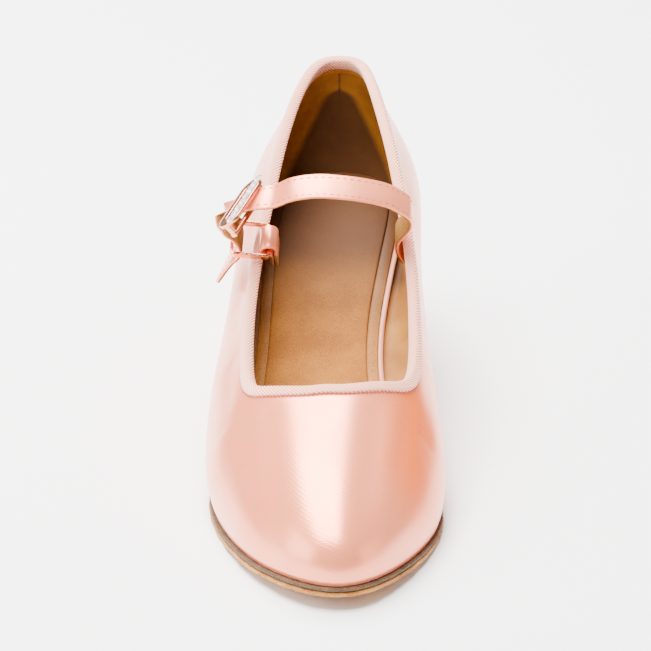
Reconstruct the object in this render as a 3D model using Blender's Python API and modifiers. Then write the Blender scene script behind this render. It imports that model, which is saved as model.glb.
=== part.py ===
# Ballroom dance shoe for the right foot: a satin court shoe with a buckled instep strap.
# Metres. The toe points along -Y, +X is the inner side of the foot and +Z is up.
# The origin is the middle of the flat face that the heel stands on.

import math
from collections import namedtuple

import bmesh
import bpy
import numpy as np
from mathutils import Vector

# Driving dimensions of the last
shoe_length = 0.2385
ball_width = 0.0732
collar_width = 0.0561
back_height = 0.0480
instep_height = 0.0408
heel_rise = 0.0480
toe_spring = 0.0045

# Thicknesses
wall_thickness = 0.0016
insole_thickness = 0.0026
sock_thickness = 0.0007
pad_thickness = 0.0008
midsole_thickness = 0.0012
outsole_thickness = 0.0016
heel_tip_thickness = 0.0060

# Margins measured in from the seat line, or out of it
lasting_margin = 0.0070
sole_margin = 0.0012
insole_margin = 0.0009
sock_margin = 0.0016
pad_margin = 0.0040
heel_inset = 0.0003
clearance = 0.0003
sole_gap = 0.0005

# Binding over the collar and throat edge
binding_thickness = 0.0007
binding_depth = 0.0036

# Heel
heel_breast = 0.0570
heel_tip_length = 0.0250
heel_tip_width = 0.0240
heel_tip_back = 0.0110

# Instep strap: its width leans back from level, and it rises over the collar
strap_width = 0.0100
strap_thickness = 0.0014
strap_lean = math.radians(32)
strap_along = 0.373
strap_rise = 0.0284

# Buckle frame on the strap
buckle_length = 0.0230
buckle_width = 0.0104
buckle_bar = 0.0032
buckle_thickness = 0.0014
buckle_end_gap = 0.0004
buckle_play = 0.0008

# Ring on the outer collar, and the loop that holds it
ring_play = 0.0022
ring_width = 0.0138
ring_bar = 0.0012
ring_thickness = 0.0020
ring_tilt = math.radians(8)
tab_width = 0.0095
tab_thickness = 0.0012
tab_loop_radius = 0.0026
tab_leg = 0.0078
tab_seat = 0.0006

steps_per_span = 6
slope_step = 0.0005
shortest_step = 0.0020

ring_length = strap_width + 2 * ring_bar + ring_play
sole_stack = outsole_thickness + midsole_thickness + 2 * clearance
heel_centre = heel_tip_back + heel_tip_length / 2

# One row for each section of the last, from the back of the heel to the toe.
# The seat is the line where upper and sole meet, and the rim is the collar and throat edge.
# Along is a share of the shoe's length, seat widths are shares of the ball width and rim
# widths shares of the collar width. A rise is the rim's height over the seat. Flare and lean
# are the wall's angles from upright at seat and rim, start and end its curve's handles. Fan is
# how far the wall leaves the rim towards its own place on the seat, not square to the rim.
Section = namedtuple("Section", (
    "seat_along seat_outer seat_inner rim_along rim_outer rim_inner "
    "outer_rise inner_rise outer_flare inner_flare lean start end fan"))
last_sections = [
    Section(0.017, 0.000, 0.000, 0.021, 0.000, 0.000,
            1.000 * back_height, 1.000 * back_height, 16, 16, 12, 0.38, 0.38, 0.0),
    Section(0.048, 0.253, 0.253, 0.040, 0.146, 0.153,
            0.990 * back_height, 0.990 * back_height, 22, 22, 16, 0.38, 0.38, 0.0),
    Section(0.166, 0.381, 0.361, 0.159, 0.282, 0.275,
            0.952 * back_height, 0.943 * back_height, 31, 31, 22, 0.40, 0.38, 0.0),
    Section(0.386, 0.405, 0.277, 0.369, 0.435, 0.456,
            0.800 * back_height, 0.790 * back_height, 45, 65, 14, 0.50, 0.35, 0.0),
    Section(0.545, 0.450, 0.345, 0.512, 0.490, 0.510,
            0.925 * instep_height, 0.900 * instep_height, 55, 62, 18, 0.50, 0.35, 0.0),
    Section(0.686, 0.511, 0.489, 0.633, 0.463, 0.488,
            0.854 * instep_height, 0.885 * instep_height, 31, 31, 40, 0.37, 0.36, 0.0),
    Section(0.809, 0.440, 0.486, 0.681, 0.337, 0.326,
            0.920 * instep_height, 0.975 * instep_height, 21, 21, 60, 0.29, 0.40, 0.6),
    Section(0.932, 0.245, 0.326, 0.702, 0.125, 0.125,
            0.983 * instep_height, 1.005 * instep_height, 14, 14, 70, 0.27, 0.45, 1.0),
    Section(1.000, -0.068, 0.068, 0.702, 0.000, 0.000,
            1.000 * instep_height, 1.000 * instep_height, 10, 10, 72, 0.26, 0.45, 1.0),
]

# Side view of the seat: shares of the heel rise and of the toe spring along the shoe
Seat = namedtuple("Seat", "along heel spring")
seat_profile = [
    Seat(0.00, 1.000, 0.00),
    Seat(0.10, 0.965, 0.00),
    Seat(0.22, 0.865, 0.00),
    Seat(0.35, 0.600, 0.00),
    Seat(0.50, 0.220, 0.00),
    Seat(0.62, 0.045, 0.00),
    Seat(0.69, 0.000, 0.00),
    Seat(0.78, 0.000, 0.00),
    Seat(0.90, 0.000, 0.42),
    Seat(1.00, 0.000, 1.00),
]

# Strap, a row for each place that it passes, from its root inside the inner collar over the
# foot, through the buckle, round and down through the ring to its tip. Across is a share of
# the collar width, rise a share of the strap's rise over the collar, shift a share of the
# strap's width up along its own lean, and turn its front edge's swing outwards in degrees.
Strap = namedtuple("Strap", "across rise shift turn")
strap_route = [
    Strap(0.433, -0.30, -0.37, 0),
    Strap(0.399, -0.11, -0.35, 0),
    Strap(0.392, 0.00, -0.32, 0),
    Strap(0.403, 0.12, -0.32, 0),
    Strap(0.438, 0.25, -0.32, 0),
    Strap(0.467, 0.38, -0.32, 0),
    Strap(0.476, 0.48, -0.32, 0),
    Strap(0.463, 0.58, -0.32, 0),
    Strap(0.421, 0.68, -0.32, 0),
    Strap(0.337, 0.82, -0.32, 0),
    Strap(0.205, 0.92, -0.32, 0),
    Strap(0.057, 0.98, -0.32, 0),
    Strap(-0.093, 1.00, -0.32, 0),
    Strap(-0.237, 0.93, -0.32, 0),
    Strap(-0.342, 0.79, -0.31, 4),
    Strap(-0.442, 0.725, -0.28, 18),
    Strap(-0.503, 0.60, -0.16, 28),
    Strap(-0.553, 0.455, -0.03, 30),
    Strap(-0.605, 0.36, 0.02, 26),
    Strap(-0.636, 0.335, -0.10, 18),
    Strap(-0.631, 0.31, -0.32, 10),
    Strap(-0.606, 0.29, -0.58, 4),
    Strap(-0.575, 0.255, -0.75, 0),
    Strap(-0.557, 0.175, -0.79, 0),
    Strap(-0.555, 0.07, -0.80, 2),
    Strap(-0.568, -0.04, -0.81, 7),
    Strap(-0.597, -0.13, -0.85, 12),
    Strap(-0.637, -0.29, -0.92, 18),
    Strap(-0.677, -0.45, -1.00, 20),
    Strap(-0.704, -0.57, -1.05, 20),
]
buckle_row = 16
ring_middle = Strap(-0.496, 0.140, -0.79, 0)
strap_spacing = 0.0024

# Loop of the tab round the ring's inner bar, from its outer leg to its inner leg, in shares of
# the loop's radius from the middle of the bar
Loop = namedtuple("Loop", "across rise")
tab_loop = [
    Loop(0.27, -1.00),
    Loop(-0.12, -0.77),
    Loop(-0.65, -0.57),
    Loop(-0.96, -0.05),
    Loop(-0.83, 0.58),
    Loop(-0.45, 0.90),
    Loop(0.00, 1.00),
    Loop(0.45, 0.90),
    Loop(0.83, 0.57),
    Loop(1.00, 0.00),
    Loop(0.95, -0.75),
]

# Rows of the upper's wall between seat and rim, and levels of the heel from top to tip
wall_rows = [0.0, 0.07, 0.16, 0.28, 0.41, 0.54, 0.67, 0.79, 0.90, 1.0]
heel_levels = [1.0, 0.86, 0.70, 0.52, 0.34, 0.16, 0.0]
heel_waist_power = 1.7


def rising_curve(places, values, at):
    """Cubic through the values that never overshoots them."""
    widths = np.diff(places)
    slopes = np.diff(values) / widths
    tangents = np.zeros(len(values))
    for i in range(1, len(values) - 1):
        if slopes[i - 1] * slopes[i] > 0:
            tangents[i] = 2 * slopes[i - 1] * slopes[i] / (slopes[i - 1] + slopes[i])
    tangents[-1] = slopes[-1]
    i = int(np.clip(np.searchsorted(places, at) - 1, 0, len(widths) - 1))
    t = np.clip((at - places[i]) / widths[i], 0.0, 1.0)
    near = (2 * t**3 - 3 * t**2 + 1) * values[i] + (t**3 - 2 * t**2 + t) * widths[i] * tangents[i]
    far = (3 * t**2 - 2 * t**3) * values[i + 1] + (t**3 - t**2) * widths[i] * tangents[i + 1]
    return near + far


def seat_height(s):
    places = np.array([row.along for row in seat_profile]) * shoe_length
    heel = rising_curve(places, np.array([row.heel for row in seat_profile]), s)
    spring = rising_curve(places, np.array([row.spring for row in seat_profile]), s)
    return sole_stack + heel_rise * heel + toe_spring * spring


def seat_point(place, drop):
    """A point under the seat by drop, square to the seat's side view; place is (x, along)."""
    x, s = place
    slope = (seat_height(s + slope_step) - seat_height(s - slope_step)) / (2 * slope_step)
    length = math.hypot(1.0, slope)
    return (x, s + slope * drop / length, seat_height(s) - drop / length)


def shoe_point(point):
    """From (x, along, height) to the model's own axes."""
    x, s, z = point
    return Vector((x, heel_centre - s, z))


def closed_curve(keys, steps):
    """Smooth closed curve through the keys, with the same number of steps in each span."""
    keys = np.array(keys, dtype=float)
    count = len(keys)
    system = np.zeros((count, count))
    for i in range(count):
        system[i, i] = 4
        system[i, (i + 1) % count] = 1
        system[i, (i - 1) % count] = 1
    slopes = np.linalg.solve(system, 3 * (np.roll(keys, -1, 0) - np.roll(keys, 1, 0)))
    points = []
    for i in range(count):
        j = (i + 1) % count
        for k in range(steps):
            t = k / steps
            points.append((2 * t**3 - 3 * t**2 + 1) * keys[i] + (t**3 - 2 * t**2 + t) * slopes[i]
                          + (3 * t**2 - 2 * t**3) * keys[j] + (t**3 - t**2) * slopes[j])
    return np.array(points)


def around(outer_values, inner_values):
    """Outer side from heel to toe, then the inner side back to the heel."""
    return list(outer_values) + list(inner_values)[-2:0:-1]


def seat_ring():
    outer = [(-row.seat_outer * ball_width, row.seat_along * shoe_length) for row in last_sections]
    inner = [(row.seat_inner * ball_width, row.seat_along * shoe_length) for row in last_sections]
    return closed_curve(around(outer, inner), steps_per_span)


def rim_ring():
    outer = [(-row.rim_outer * collar_width, row.rim_along * shoe_length, row.outer_rise)
             for row in last_sections]
    inner = [(row.rim_inner * collar_width, row.rim_along * shoe_length, row.inner_rise)
             for row in last_sections]
    return closed_curve(around(outer, inner), steps_per_span)


def outward(ring):
    """Outward directions of a closed ring of (x, along) points."""
    ahead = np.roll(ring[:, :2], -1, 0) - np.roll(ring[:, :2], 1, 0)
    ahead /= np.linalg.norm(ahead, axis=1)[:, None]
    return np.stack([-ahead[:, 1], ahead[:, 0]], axis=1)


def inset_ring(distance):
    ring = seat_ring()
    return ring - outward(ring) * distance


def side_pairs(ring):
    """Pairs of outer and inner points of a closed ring, from heel to toe."""
    count = len(ring)
    half = count // 2
    return [(ring[i], ring[(count - i) % count]) for i in range(half + 1)]


def cut_across(before, after, s):
    """Pair of points where a straight cut across the shoe meets the outline."""
    return tuple(a + (b - a) * (s - a[1]) / (b[1] - a[1]) for a, b in zip(before, after))


def pairs_ahead(pairs, start):
    """The pairs ahead of a straight cut across the shoe, with the cut first."""
    kept = [pair for pair in pairs if min(pair[0][1], pair[1][1]) > start + shortest_step]
    before = [pair for pair in pairs if min(pair[0][1], pair[1][1]) <= start + shortest_step][-1]
    return [cut_across(before, kept[0], start)] + kept


def pairs_behind(pairs, end):
    """The pairs behind a straight cut across the shoe, with the cut last."""
    kept = [pair for pair in pairs if max(pair[0][1], pair[1][1]) < end - shortest_step]
    after = [pair for pair in pairs if max(pair[0][1], pair[1][1]) >= end - shortest_step][0]
    return kept + [cut_across(kept[-1], after, end)]


def wall_grid():
    """Rows of points of the upper's outer face, from seat to rim."""
    seat = seat_ring()
    rim = rim_ring()
    outer_shape = [(row.outer_flare, row.lean, row.start, row.end, row.fan)
                   for row in last_sections]
    inner_shape = [(row.inner_flare, row.lean, row.start, row.end, row.fan)
                   for row in last_sections]
    shape = closed_curve(around(outer_shape, inner_shape), steps_per_span)
    seat_out, rim_out = outward(seat), outward(rim)
    rows = [[] for _ in wall_rows]
    for i in range(len(seat)):
        low = np.array([*seat[i], seat_height(seat[i][1])])
        high = np.array([rim[i][0], rim[i][1], seat_height(rim[i][1]) + rim[i][2]])
        flare, lean = np.radians(shape[i][:2])
        length = np.linalg.norm(high - low)
        spread = (low - high)[:2] / np.linalg.norm((low - high)[:2])
        leave = rim_out[i] * (1 - shape[i][4]) + spread * shape[i][4]
        leave /= np.linalg.norm(leave)
        low_handle = low + shape[i][2] * length * np.array(
            [*(seat_out[i] * math.sin(flare)), math.cos(flare)])
        high_handle = high + shape[i][3] * length * np.array(
            [*(leave * math.sin(lean)), -math.cos(lean)])
        for row, v in zip(rows, wall_rows):
            row.append((1 - v)**3 * low + 3 * (1 - v)**2 * v * low_handle
                       + 3 * (1 - v) * v**2 * high_handle + v**3 * high)
    return rows


def finish(name, colour, roughness, metallic=0.0):
    material = bpy.data.materials.get(name) or bpy.data.materials.new(name)
    material.use_nodes = True
    shader = material.node_tree.nodes["Principled BSDF"]
    shader.inputs["Base Color"].default_value = (*colour, 1.0)
    shader.inputs["Roughness"].default_value = roughness
    shader.inputs["Metallic"].default_value = metallic
    return material


def add_part(name, mesh_data, material, collection):
    mesh = bpy.data.meshes.new(name)
    bmesh.ops.recalc_face_normals(mesh_data, faces=mesh_data.faces)
    mesh_data.to_mesh(mesh)
    mesh_data.free()
    part = bpy.data.objects.new(name, mesh)
    part.data.materials.append(material)
    collection.objects.link(part)
    mesh.shade_smooth()
    mesh.set_sharp_from_angle(angle=math.radians(40))
    return part


def stack(name, levels, material, collection):
    """Closed body through levels of (outer, inner) pairs, the first level on top."""
    body = bmesh.new()
    chains = []
    caps = []
    for level in levels:
        rows = []
        for outer, inner in level:
            first = body.verts.new(shoe_point(outer))
            same = np.allclose(outer, inner, atol=1e-7)
            rows.append([first] if same else [first, body.verts.new(shoe_point(inner))])
        caps.append(rows)
        chains.append([row[0] for row in rows] + [row[1] for row in rows[::-1] if len(row) == 2])
    for rows in (caps[0], caps[-1]):
        for near, far in zip(rows, rows[1:]):
            body.faces.new(near + far[::-1])
    for high, low in zip(chains, chains[1:]):
        for i in range(len(high)):
            j = (i + 1) % len(high)
            body.faces.new([high[i], high[j], low[j], low[i]])
    return add_part(name, body, material, collection)


def tube_of_rings(name, rings, material, collection, closed):
    """Body through rings of points; a closed one joins its last ring to its first."""
    body = bmesh.new()
    rows = [[body.verts.new(point) for point in ring] for ring in rings]
    count = len(rows[0])
    last = len(rows) if closed else len(rows) - 1
    for i in range(last):
        here, there = rows[i], rows[(i + 1) % len(rows)]
        for k in range(count):
            m = (k + 1) % count
            body.faces.new([here[k], here[m], there[m], there[k]])
    if not closed:
        body.faces.new(rows[0])
        body.faces.new(rows[-1])
    return add_part(name, body, material, collection)


def seat_layer(name, pairs, top_drop, bottom_drop, material, collection):
    levels = [[(seat_point(outer, drop), seat_point(inner, drop)) for outer, inner in pairs]
              for drop in (top_drop, bottom_drop)]
    return stack(name, levels, material, collection)


def make_upper(material, collection):
    rows = [[seat_point(place, 0.0) for place in inset_ring(lasting_margin)]]
    rows += wall_grid()
    shell = bmesh.new()
    grid = [[shell.verts.new(shoe_point(point)) for point in row] for row in rows]
    count = len(grid[0])
    for low, high in zip(grid, grid[1:]):
        for i in range(count):
            j = (i + 1) % count
            shell.faces.new([low[i], high[i], high[j], low[j]])
    upper = add_part("upper", shell, material, collection)
    lining = upper.modifiers.new("wall", "SOLIDIFY")
    lining.thickness = wall_thickness
    lining.offset = -1.0
    lining.use_even_offset = True
    return upper


def make_binding(material, collection):
    rows = [np.array(row) for row in wall_grid()]
    rim, below = rows[-1], rows[-2]
    along = np.roll(rim, -1, 0) - np.roll(rim, 1, 0)
    rings = []
    outside = -clearance - binding_thickness
    inside = wall_thickness + clearance + binding_thickness
    top = clearance + binding_thickness
    shoulder = 0.45 * binding_thickness
    # Section of the tape: distance in from the outer face, height over the rim
    section = [
        (outside, -binding_depth),
        (outside, 0.0),
        (outside + shoulder, top - shoulder),
        (wall_thickness / 2, top),
        (inside - shoulder, top - shoulder),
        (inside, 0.0),
        (inside, -binding_depth),
        (wall_thickness + clearance, -binding_depth),
        (wall_thickness + clearance, clearance),
        (-clearance, clearance),
        (-clearance, -binding_depth),
    ]
    for i in range(len(rim)):
        up = rim[i] - below[i]
        up /= np.linalg.norm(up)
        ahead = along[i] / np.linalg.norm(along[i])
        inward = np.cross(ahead, up)
        inward /= np.linalg.norm(inward)
        rings.append([shoe_point(rim[i] + inward * a + up * b) for a, b in section])
    return tube_of_rings("topline_binding", rings, material, collection, closed=True)


def tip_pairs(count):
    """Outline of the heel's foot: round at the back, straight across the front."""
    half = heel_tip_width / 2
    back = heel_tip_back
    front = heel_tip_back + heel_tip_length
    pairs = []
    for i in range(count):
        share = i / (count - 1)
        s = back + (front - back) * share**1.6
        reach = min(1.0, (s - back) / (0.6 * heel_tip_length))
        x = half * math.sqrt(max(0.0, 1 - (1 - reach)**2))
        pairs.append((np.array([-x, s]), np.array([x, s])))
    return pairs


def make_heel(material, tip_material, collection):
    top = pairs_behind(side_pairs(inset_ring(heel_inset)), heel_breast)
    foot = tip_pairs(len(top))
    floor = heel_tip_thickness + clearance
    levels = []
    for t in heel_levels:
        grow = t**heel_waist_power
        level = []
        for high_pair, low_pair in zip(top, foot):
            pair = []
            for high, low in zip(high_pair, low_pair):
                x, s, z = seat_point(high, clearance)
                pair.append((low[0] + (x - low[0]) * grow, low[1] + (s - low[1]) * grow,
                             floor + (z - floor) * t))
            level.append(tuple(pair))
        levels.append(level)
    stack("heel", levels, material, collection)
    flat = [[((*outer, z), (*inner, z)) for outer, inner in foot] for z in (heel_tip_thickness, 0.0)]
    stack("heel_tip", flat, tip_material, collection)


def rim_at(s):
    """Outer edge across, and mean height of the collar's edge, at a place along the shoe."""
    pairs = side_pairs(rim_ring())[:5 * steps_per_span]
    rises = [np.interp(s, [pair[side][1] for pair in pairs], [pair[side][2] for pair in pairs])
             for side in range(2)]
    outer = np.interp(s, [pair[0][1] for pair in pairs], [pair[0][0] for pair in pairs])
    return outer, seat_height(s) + sum(rises) / 2


def strap_axes():
    """The strap's origin on the collar, its rising direction and the way up its lean."""
    s = strap_along * shoe_length
    origin = shoe_point((0.0, s, rim_at(s)[1]))
    rising = Vector((0.0, -math.sin(strap_lean), math.cos(strap_lean)))
    back = Vector((0.0, math.cos(strap_lean), math.sin(strap_lean)))
    return origin, rising, back


def strap_place(across, rise, shift):
    origin, rising, back = strap_axes()
    return (origin + Vector((across * collar_width, 0.0, 0.0))
            + rising * (rise * strap_rise) + back * (shift * strap_width))


def strap_stations():
    """Points, directions along, widths and face normals of the strap, and the buckle's place."""
    places = [strap_place(row.across, row.rise, row.shift) for row in strap_route]
    back = strap_axes()[2]
    widths = []
    for row in strap_route:
        turn = math.radians(row.turn)
        widths.append(-back * math.cos(turn) - Vector((1.0, 0.0, 0.0)) * math.sin(turn))
    last = len(places) - 1
    stations = []
    buckle_at = 0
    for i in range(last):
        before, after = places[max(i - 1, 0)], places[min(i + 2, last)]
        here, there = places[i], places[i + 1]
        chord = (there - here).length
        start = (there - before) * (chord / ((there - here).length + (here - before).length))
        finish_slope = (after - here) * (chord / ((after - there).length + chord))
        if i == buckle_row:
            buckle_at = len(stations)
        steps = max(1, round(chord / strap_spacing))
        for k in range(steps + (i == last - 1)):
            t = k / steps
            point = ((2 * t**3 - 3 * t**2 + 1) * here + (t**3 - 2 * t**2 + t) * start
                     + (3 * t**2 - 2 * t**3) * there + (t**3 - t**2) * finish_slope)
            ahead = ((6 * t**2 - 6 * t) * here + (3 * t**2 - 4 * t + 1) * start
                     + (6 * t - 6 * t**2) * there + (3 * t**2 - 2 * t) * finish_slope).normalized()
            width = widths[i].lerp(widths[i + 1], t)
            face = ahead.cross(width).normalized()
            stations.append((point, ahead, face.cross(ahead), face))
    return stations, buckle_at


def ribbon_ring(point, width, face, half, thickness):
    """Flat section with rounded edges."""
    edge = min(0.4 * thickness, 0.5 * half)
    return [point + width * a + face * b for a, b in (
        (half, 0.0), (half - edge, thickness / 2), (edge - half, thickness / 2),
        (-half, 0.0), (edge - half, -thickness / 2), (half - edge, -thickness / 2))]


def make_strap(material, collection):
    stations, _ = strap_stations()
    tip_radius = strap_width / 2
    end = stations[-1][0]
    rings = []
    for point, _, width, face in stations:
        from_end = (end - point).length
        half = tip_radius
        if from_end < tip_radius:
            half = math.sqrt(max(tip_radius**2 - (tip_radius - from_end)**2, (0.3 * tip_radius)**2))
        rings.append(ribbon_ring(point, width, face, half, strap_thickness))
    return tube_of_rings("strap", rings, material, collection, closed=False)


def frame_outline(length, width, bar, corner_steps=4):
    """Middle line of a rounded rectangle of flat bar."""
    corner = bar
    half_a = length / 2 - bar / 2 - corner
    half_b = width / 2 - bar / 2 - corner
    points = []
    for quarter, (a, b) in enumerate(((1, 1), (-1, 1), (-1, -1), (1, -1))):
        for k in range(corner_steps + 1):
            angle = math.radians(90) * (quarter + k / corner_steps)
            points.append((a * half_a + corner * math.cos(angle), b * half_b + corner * math.sin(angle),
                           math.cos(angle), math.sin(angle)))
    return points


def flat_frame(name, centre, long_axis, short_axis, normal, sizes, material, collection):
    """Rounded rectangular frame of flat bar; sizes are length, width, bar and thickness."""
    length, width, bar, thickness = sizes
    rings = []
    for a, b, out_a, out_b in frame_outline(length, width, bar):
        middle = centre + long_axis * a + short_axis * b
        out = long_axis * out_a + short_axis * out_b
        rings.append([middle + out * (bar / 2 * i) + normal * (thickness / 2 * j)
                      for i, j in ((1, 1), (1, -1), (-1, -1), (-1, 1))])
    return tube_of_rings(name, rings, material, collection, closed=True)


def box_between(name, start, end, side, normal, width, height, material, collection):
    rings = [[point + side * (width / 2 * i) + normal * (height / 2 * j)
              for i, j in ((1, 1), (1, -1), (-1, -1), (-1, 1))] for point in (start, end)]
    return tube_of_rings(name, rings, material, collection, closed=False)


def join(target, other):
    """Boolean union of other into target."""
    union = target.modifiers.new("join", "BOOLEAN")
    union.operation = "UNION"
    union.object = other
    other.hide_render = True
    other.display_type = "WIRE"


def make_buckle(material, collection, helpers):
    stations, at = strap_stations()
    point, ahead, width, face = stations[at]
    offset = buckle_length / 2 - buckle_bar - buckle_end_gap - strap_width / 2
    over = strap_thickness / 2 + buckle_play + buckle_thickness / 2
    centre = point + width * offset + face * over
    frame = flat_frame("buckle_frame", centre, width, ahead, face,
                       (buckle_length, buckle_width, buckle_bar, buckle_thickness),
                       material, collection)
    end = buckle_length / 2 - buckle_bar / 2
    low = centre - face * (2 * over)
    middle_bar = box_between("middle_bar", low - width * (end + buckle_bar * 0.4),
                             low + width * (end + buckle_bar * 0.4), ahead, face,
                             buckle_bar * 0.8, buckle_thickness, material, helpers)
    join(frame, middle_bar)
    for sign in (-1, 1):
        foot = low + width * (sign * end) - face * (buckle_thickness * 0.3)
        head = centre + width * (sign * end) + face * (buckle_thickness * 0.3)
        post = box_between("post", foot, head, ahead, width, buckle_bar * 0.7, buckle_bar * 0.7,
                           material, helpers)
        join(frame, post)
    return frame


def ring_axes():
    _, rising, back = strap_axes()
    centre = strap_place(ring_middle.across, ring_middle.rise, ring_middle.shift)
    outwards = (Vector((-1.0, 0.0, 0.0)) * math.cos(ring_tilt) + rising * math.sin(ring_tilt))
    return centre, outwards, back, back.cross(outwards).normalized()


def make_ring(material, collection):
    centre, outwards, back, normal = ring_axes()
    return flat_frame("ring", centre, back, outwards, normal,
                      (ring_length, ring_width, ring_bar, ring_thickness), material, collection)


def make_tab(material, collection):
    """Loop of ribbon round the ring's inner bar, with both legs down inside the collar."""
    centre, outwards, back, _ = ring_axes()
    rising = strap_axes()[1]
    across = Vector((1.0, 0.0, 0.0))
    bar = centre - outwards * (ring_width / 2 - ring_bar / 2)
    collar_inside = (rim_at(strap_along * shoe_length)[0] + wall_thickness + binding_thickness
                     + 2 * clearance)
    outer_leg = across * (collar_inside + tab_seat + tab_thickness / 2 - bar.x)
    inner_leg = outer_leg + across * (tab_thickness + clearance)
    neck = rising * (1.6 * tab_loop_radius)
    foot = rising * tab_leg
    path = [bar + outer_leg - foot, bar + outer_leg - neck]
    for row in tab_loop:
        path.append(bar + across * (row.across * tab_loop_radius)
                    + rising * (row.rise * tab_loop_radius))
    path += [bar + inner_leg - neck, bar + inner_leg - foot]
    rings = []
    for i, point in enumerate(path):
        ahead = (path[min(i + 1, len(path) - 1)] - path[max(i - 1, 0)]).normalized()
        face = back.cross(ahead).normalized()
        rings.append(ribbon_ring(point, back, face, tab_width / 2, tab_thickness))
    return tube_of_rings("strap_tab", rings, material, collection, closed=False)


def main():
    for old in list(bpy.data.objects):
        bpy.data.objects.remove(old)
    shoe = bpy.data.collections.new("ballroom_shoe")
    helpers = bpy.data.collections.new("helpers")
    for collection in (shoe, helpers):
        bpy.context.scene.collection.children.link(collection)

    satin = finish("satin", (0.86, 0.55, 0.45), 0.35)
    tape = finish("binding_tape", (0.88, 0.62, 0.53), 0.6)
    wrap = finish("insole_satin", (0.87, 0.60, 0.50), 0.4)
    sock = finish("sock_border", (0.62, 0.42, 0.22), 0.75)
    pad = finish("sock_suede", (0.50, 0.30, 0.13), 0.85)
    layer = finish("sole_edge", (0.22, 0.17, 0.13), 0.7)
    suede = finish("sole_suede", (0.45, 0.29, 0.13), 0.95)
    rubber = finish("heel_tip", (0.30, 0.20, 0.11), 0.9)
    rose_gold = finish("rose_gold", (0.85, 0.52, 0.40), 0.15, 1.0)

    make_upper(satin, shoe)
    make_binding(tape, shoe)

    insole_low = -(wall_thickness + clearance)
    insole_high = insole_low - insole_thickness
    insole_pairs = side_pairs(inset_ring(wall_thickness + insole_margin))
    seat_layer("insole", insole_pairs, insole_high, insole_low, wrap, shoe)
    sock_low = insole_high - clearance
    sock_high = sock_low - sock_thickness
    sock_inset = wall_thickness + insole_margin + sock_margin
    seat_layer("sock_liner", side_pairs(inset_ring(sock_inset)), sock_high, sock_low, sock, shoe)
    pad_low = sock_high - clearance
    pad_pairs = side_pairs(inset_ring(sock_inset + pad_margin))
    seat_layer("sock_pad", pad_pairs, pad_low - pad_thickness, pad_low, pad, shoe)

    sole_pairs = pairs_ahead(side_pairs(inset_ring(-sole_margin)), heel_breast + sole_gap)
    midsole_low = clearance + midsole_thickness
    seat_layer("midsole", sole_pairs, clearance, midsole_low, layer, shoe)
    seat_layer("outsole", sole_pairs, midsole_low + clearance, sole_stack, suede, shoe)
    make_heel(satin, rubber, shoe)

    make_strap(satin, shoe)
    make_tab(satin, shoe)
    make_ring(rose_gold, shoe)
    make_buckle(rose_gold, shoe, helpers)


main()
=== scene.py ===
import bpy
import bmesh
import math
import numpy as np
from mathutils import Matrix, Vector


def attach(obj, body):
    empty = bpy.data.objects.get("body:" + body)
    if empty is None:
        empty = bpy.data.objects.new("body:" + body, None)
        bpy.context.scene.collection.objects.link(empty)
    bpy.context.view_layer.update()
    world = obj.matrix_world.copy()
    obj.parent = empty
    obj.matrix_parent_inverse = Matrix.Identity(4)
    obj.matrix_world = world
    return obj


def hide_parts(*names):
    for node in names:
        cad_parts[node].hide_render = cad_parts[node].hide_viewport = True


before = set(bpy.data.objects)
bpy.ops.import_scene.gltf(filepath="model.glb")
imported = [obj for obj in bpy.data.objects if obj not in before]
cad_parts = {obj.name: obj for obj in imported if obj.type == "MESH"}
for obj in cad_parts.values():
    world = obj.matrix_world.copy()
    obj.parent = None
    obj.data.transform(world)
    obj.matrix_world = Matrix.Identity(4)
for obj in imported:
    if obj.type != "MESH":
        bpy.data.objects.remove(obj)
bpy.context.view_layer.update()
print("frame loaded")

# The last: the same sizes and sections as the CAD part, in metres.
# Along is counted from the back of the heel to the toe, the toe points along -Y.
last = {
    "length": 0.2385,
    "ballWidth": 0.0732,
    "collarWidth": 0.0561,
    "backHeight": 0.0480,
    "instepHeight": 0.0408,
    "heelRise": 0.0480,
    "toeSpring": 0.0045,
    "soleStack": 0.0034,
    "heelCentre": 0.0235,
    "spanSteps": 20,
}

# seat along, outer, inner; rim along, outer, inner; outer rise, inner rise (shares of
# back height in the first four rows, of instep height below); flares, lean, handles,
# and how far the rim's direction fans out to the seat
sections = [
    (0.017, 0.000, 0.000, 0.021, 0.000, 0.000, 1.000, 1.000, 16, 16, 12, 0.38, 0.38, 0.0),
    (0.048, 0.253, 0.253, 0.040, 0.146, 0.153, 0.990, 0.990, 22, 22, 16, 0.38, 0.38, 0.0),
    (0.166, 0.381, 0.361, 0.159, 0.282, 0.275, 0.952, 0.943, 31, 31, 22, 0.40, 0.38, 0.0),
    (0.386, 0.405, 0.277, 0.369, 0.435, 0.456, 0.800, 0.790, 45, 65, 14, 0.50, 0.35, 0.0),
    (0.545, 0.450, 0.345, 0.512, 0.490, 0.510, 0.925, 0.900, 55, 62, 18, 0.50, 0.35, 0.0),
    (0.686, 0.511, 0.489, 0.633, 0.463, 0.488, 0.854, 0.885, 31, 31, 40, 0.37, 0.36, 0.0),
    (0.809, 0.440, 0.486, 0.681, 0.337, 0.326, 0.920, 0.975, 21, 21, 60, 0.29, 0.40, 0.6),
    (0.932, 0.245, 0.326, 0.702, 0.125, 0.125, 0.983, 1.005, 14, 14, 70, 0.27, 0.45, 1.0),
    (1.000, -0.068, 0.068, 0.702, 0.000, 0.000, 1.000, 1.000, 10, 10, 72, 0.26, 0.45, 1.0),
]

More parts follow.
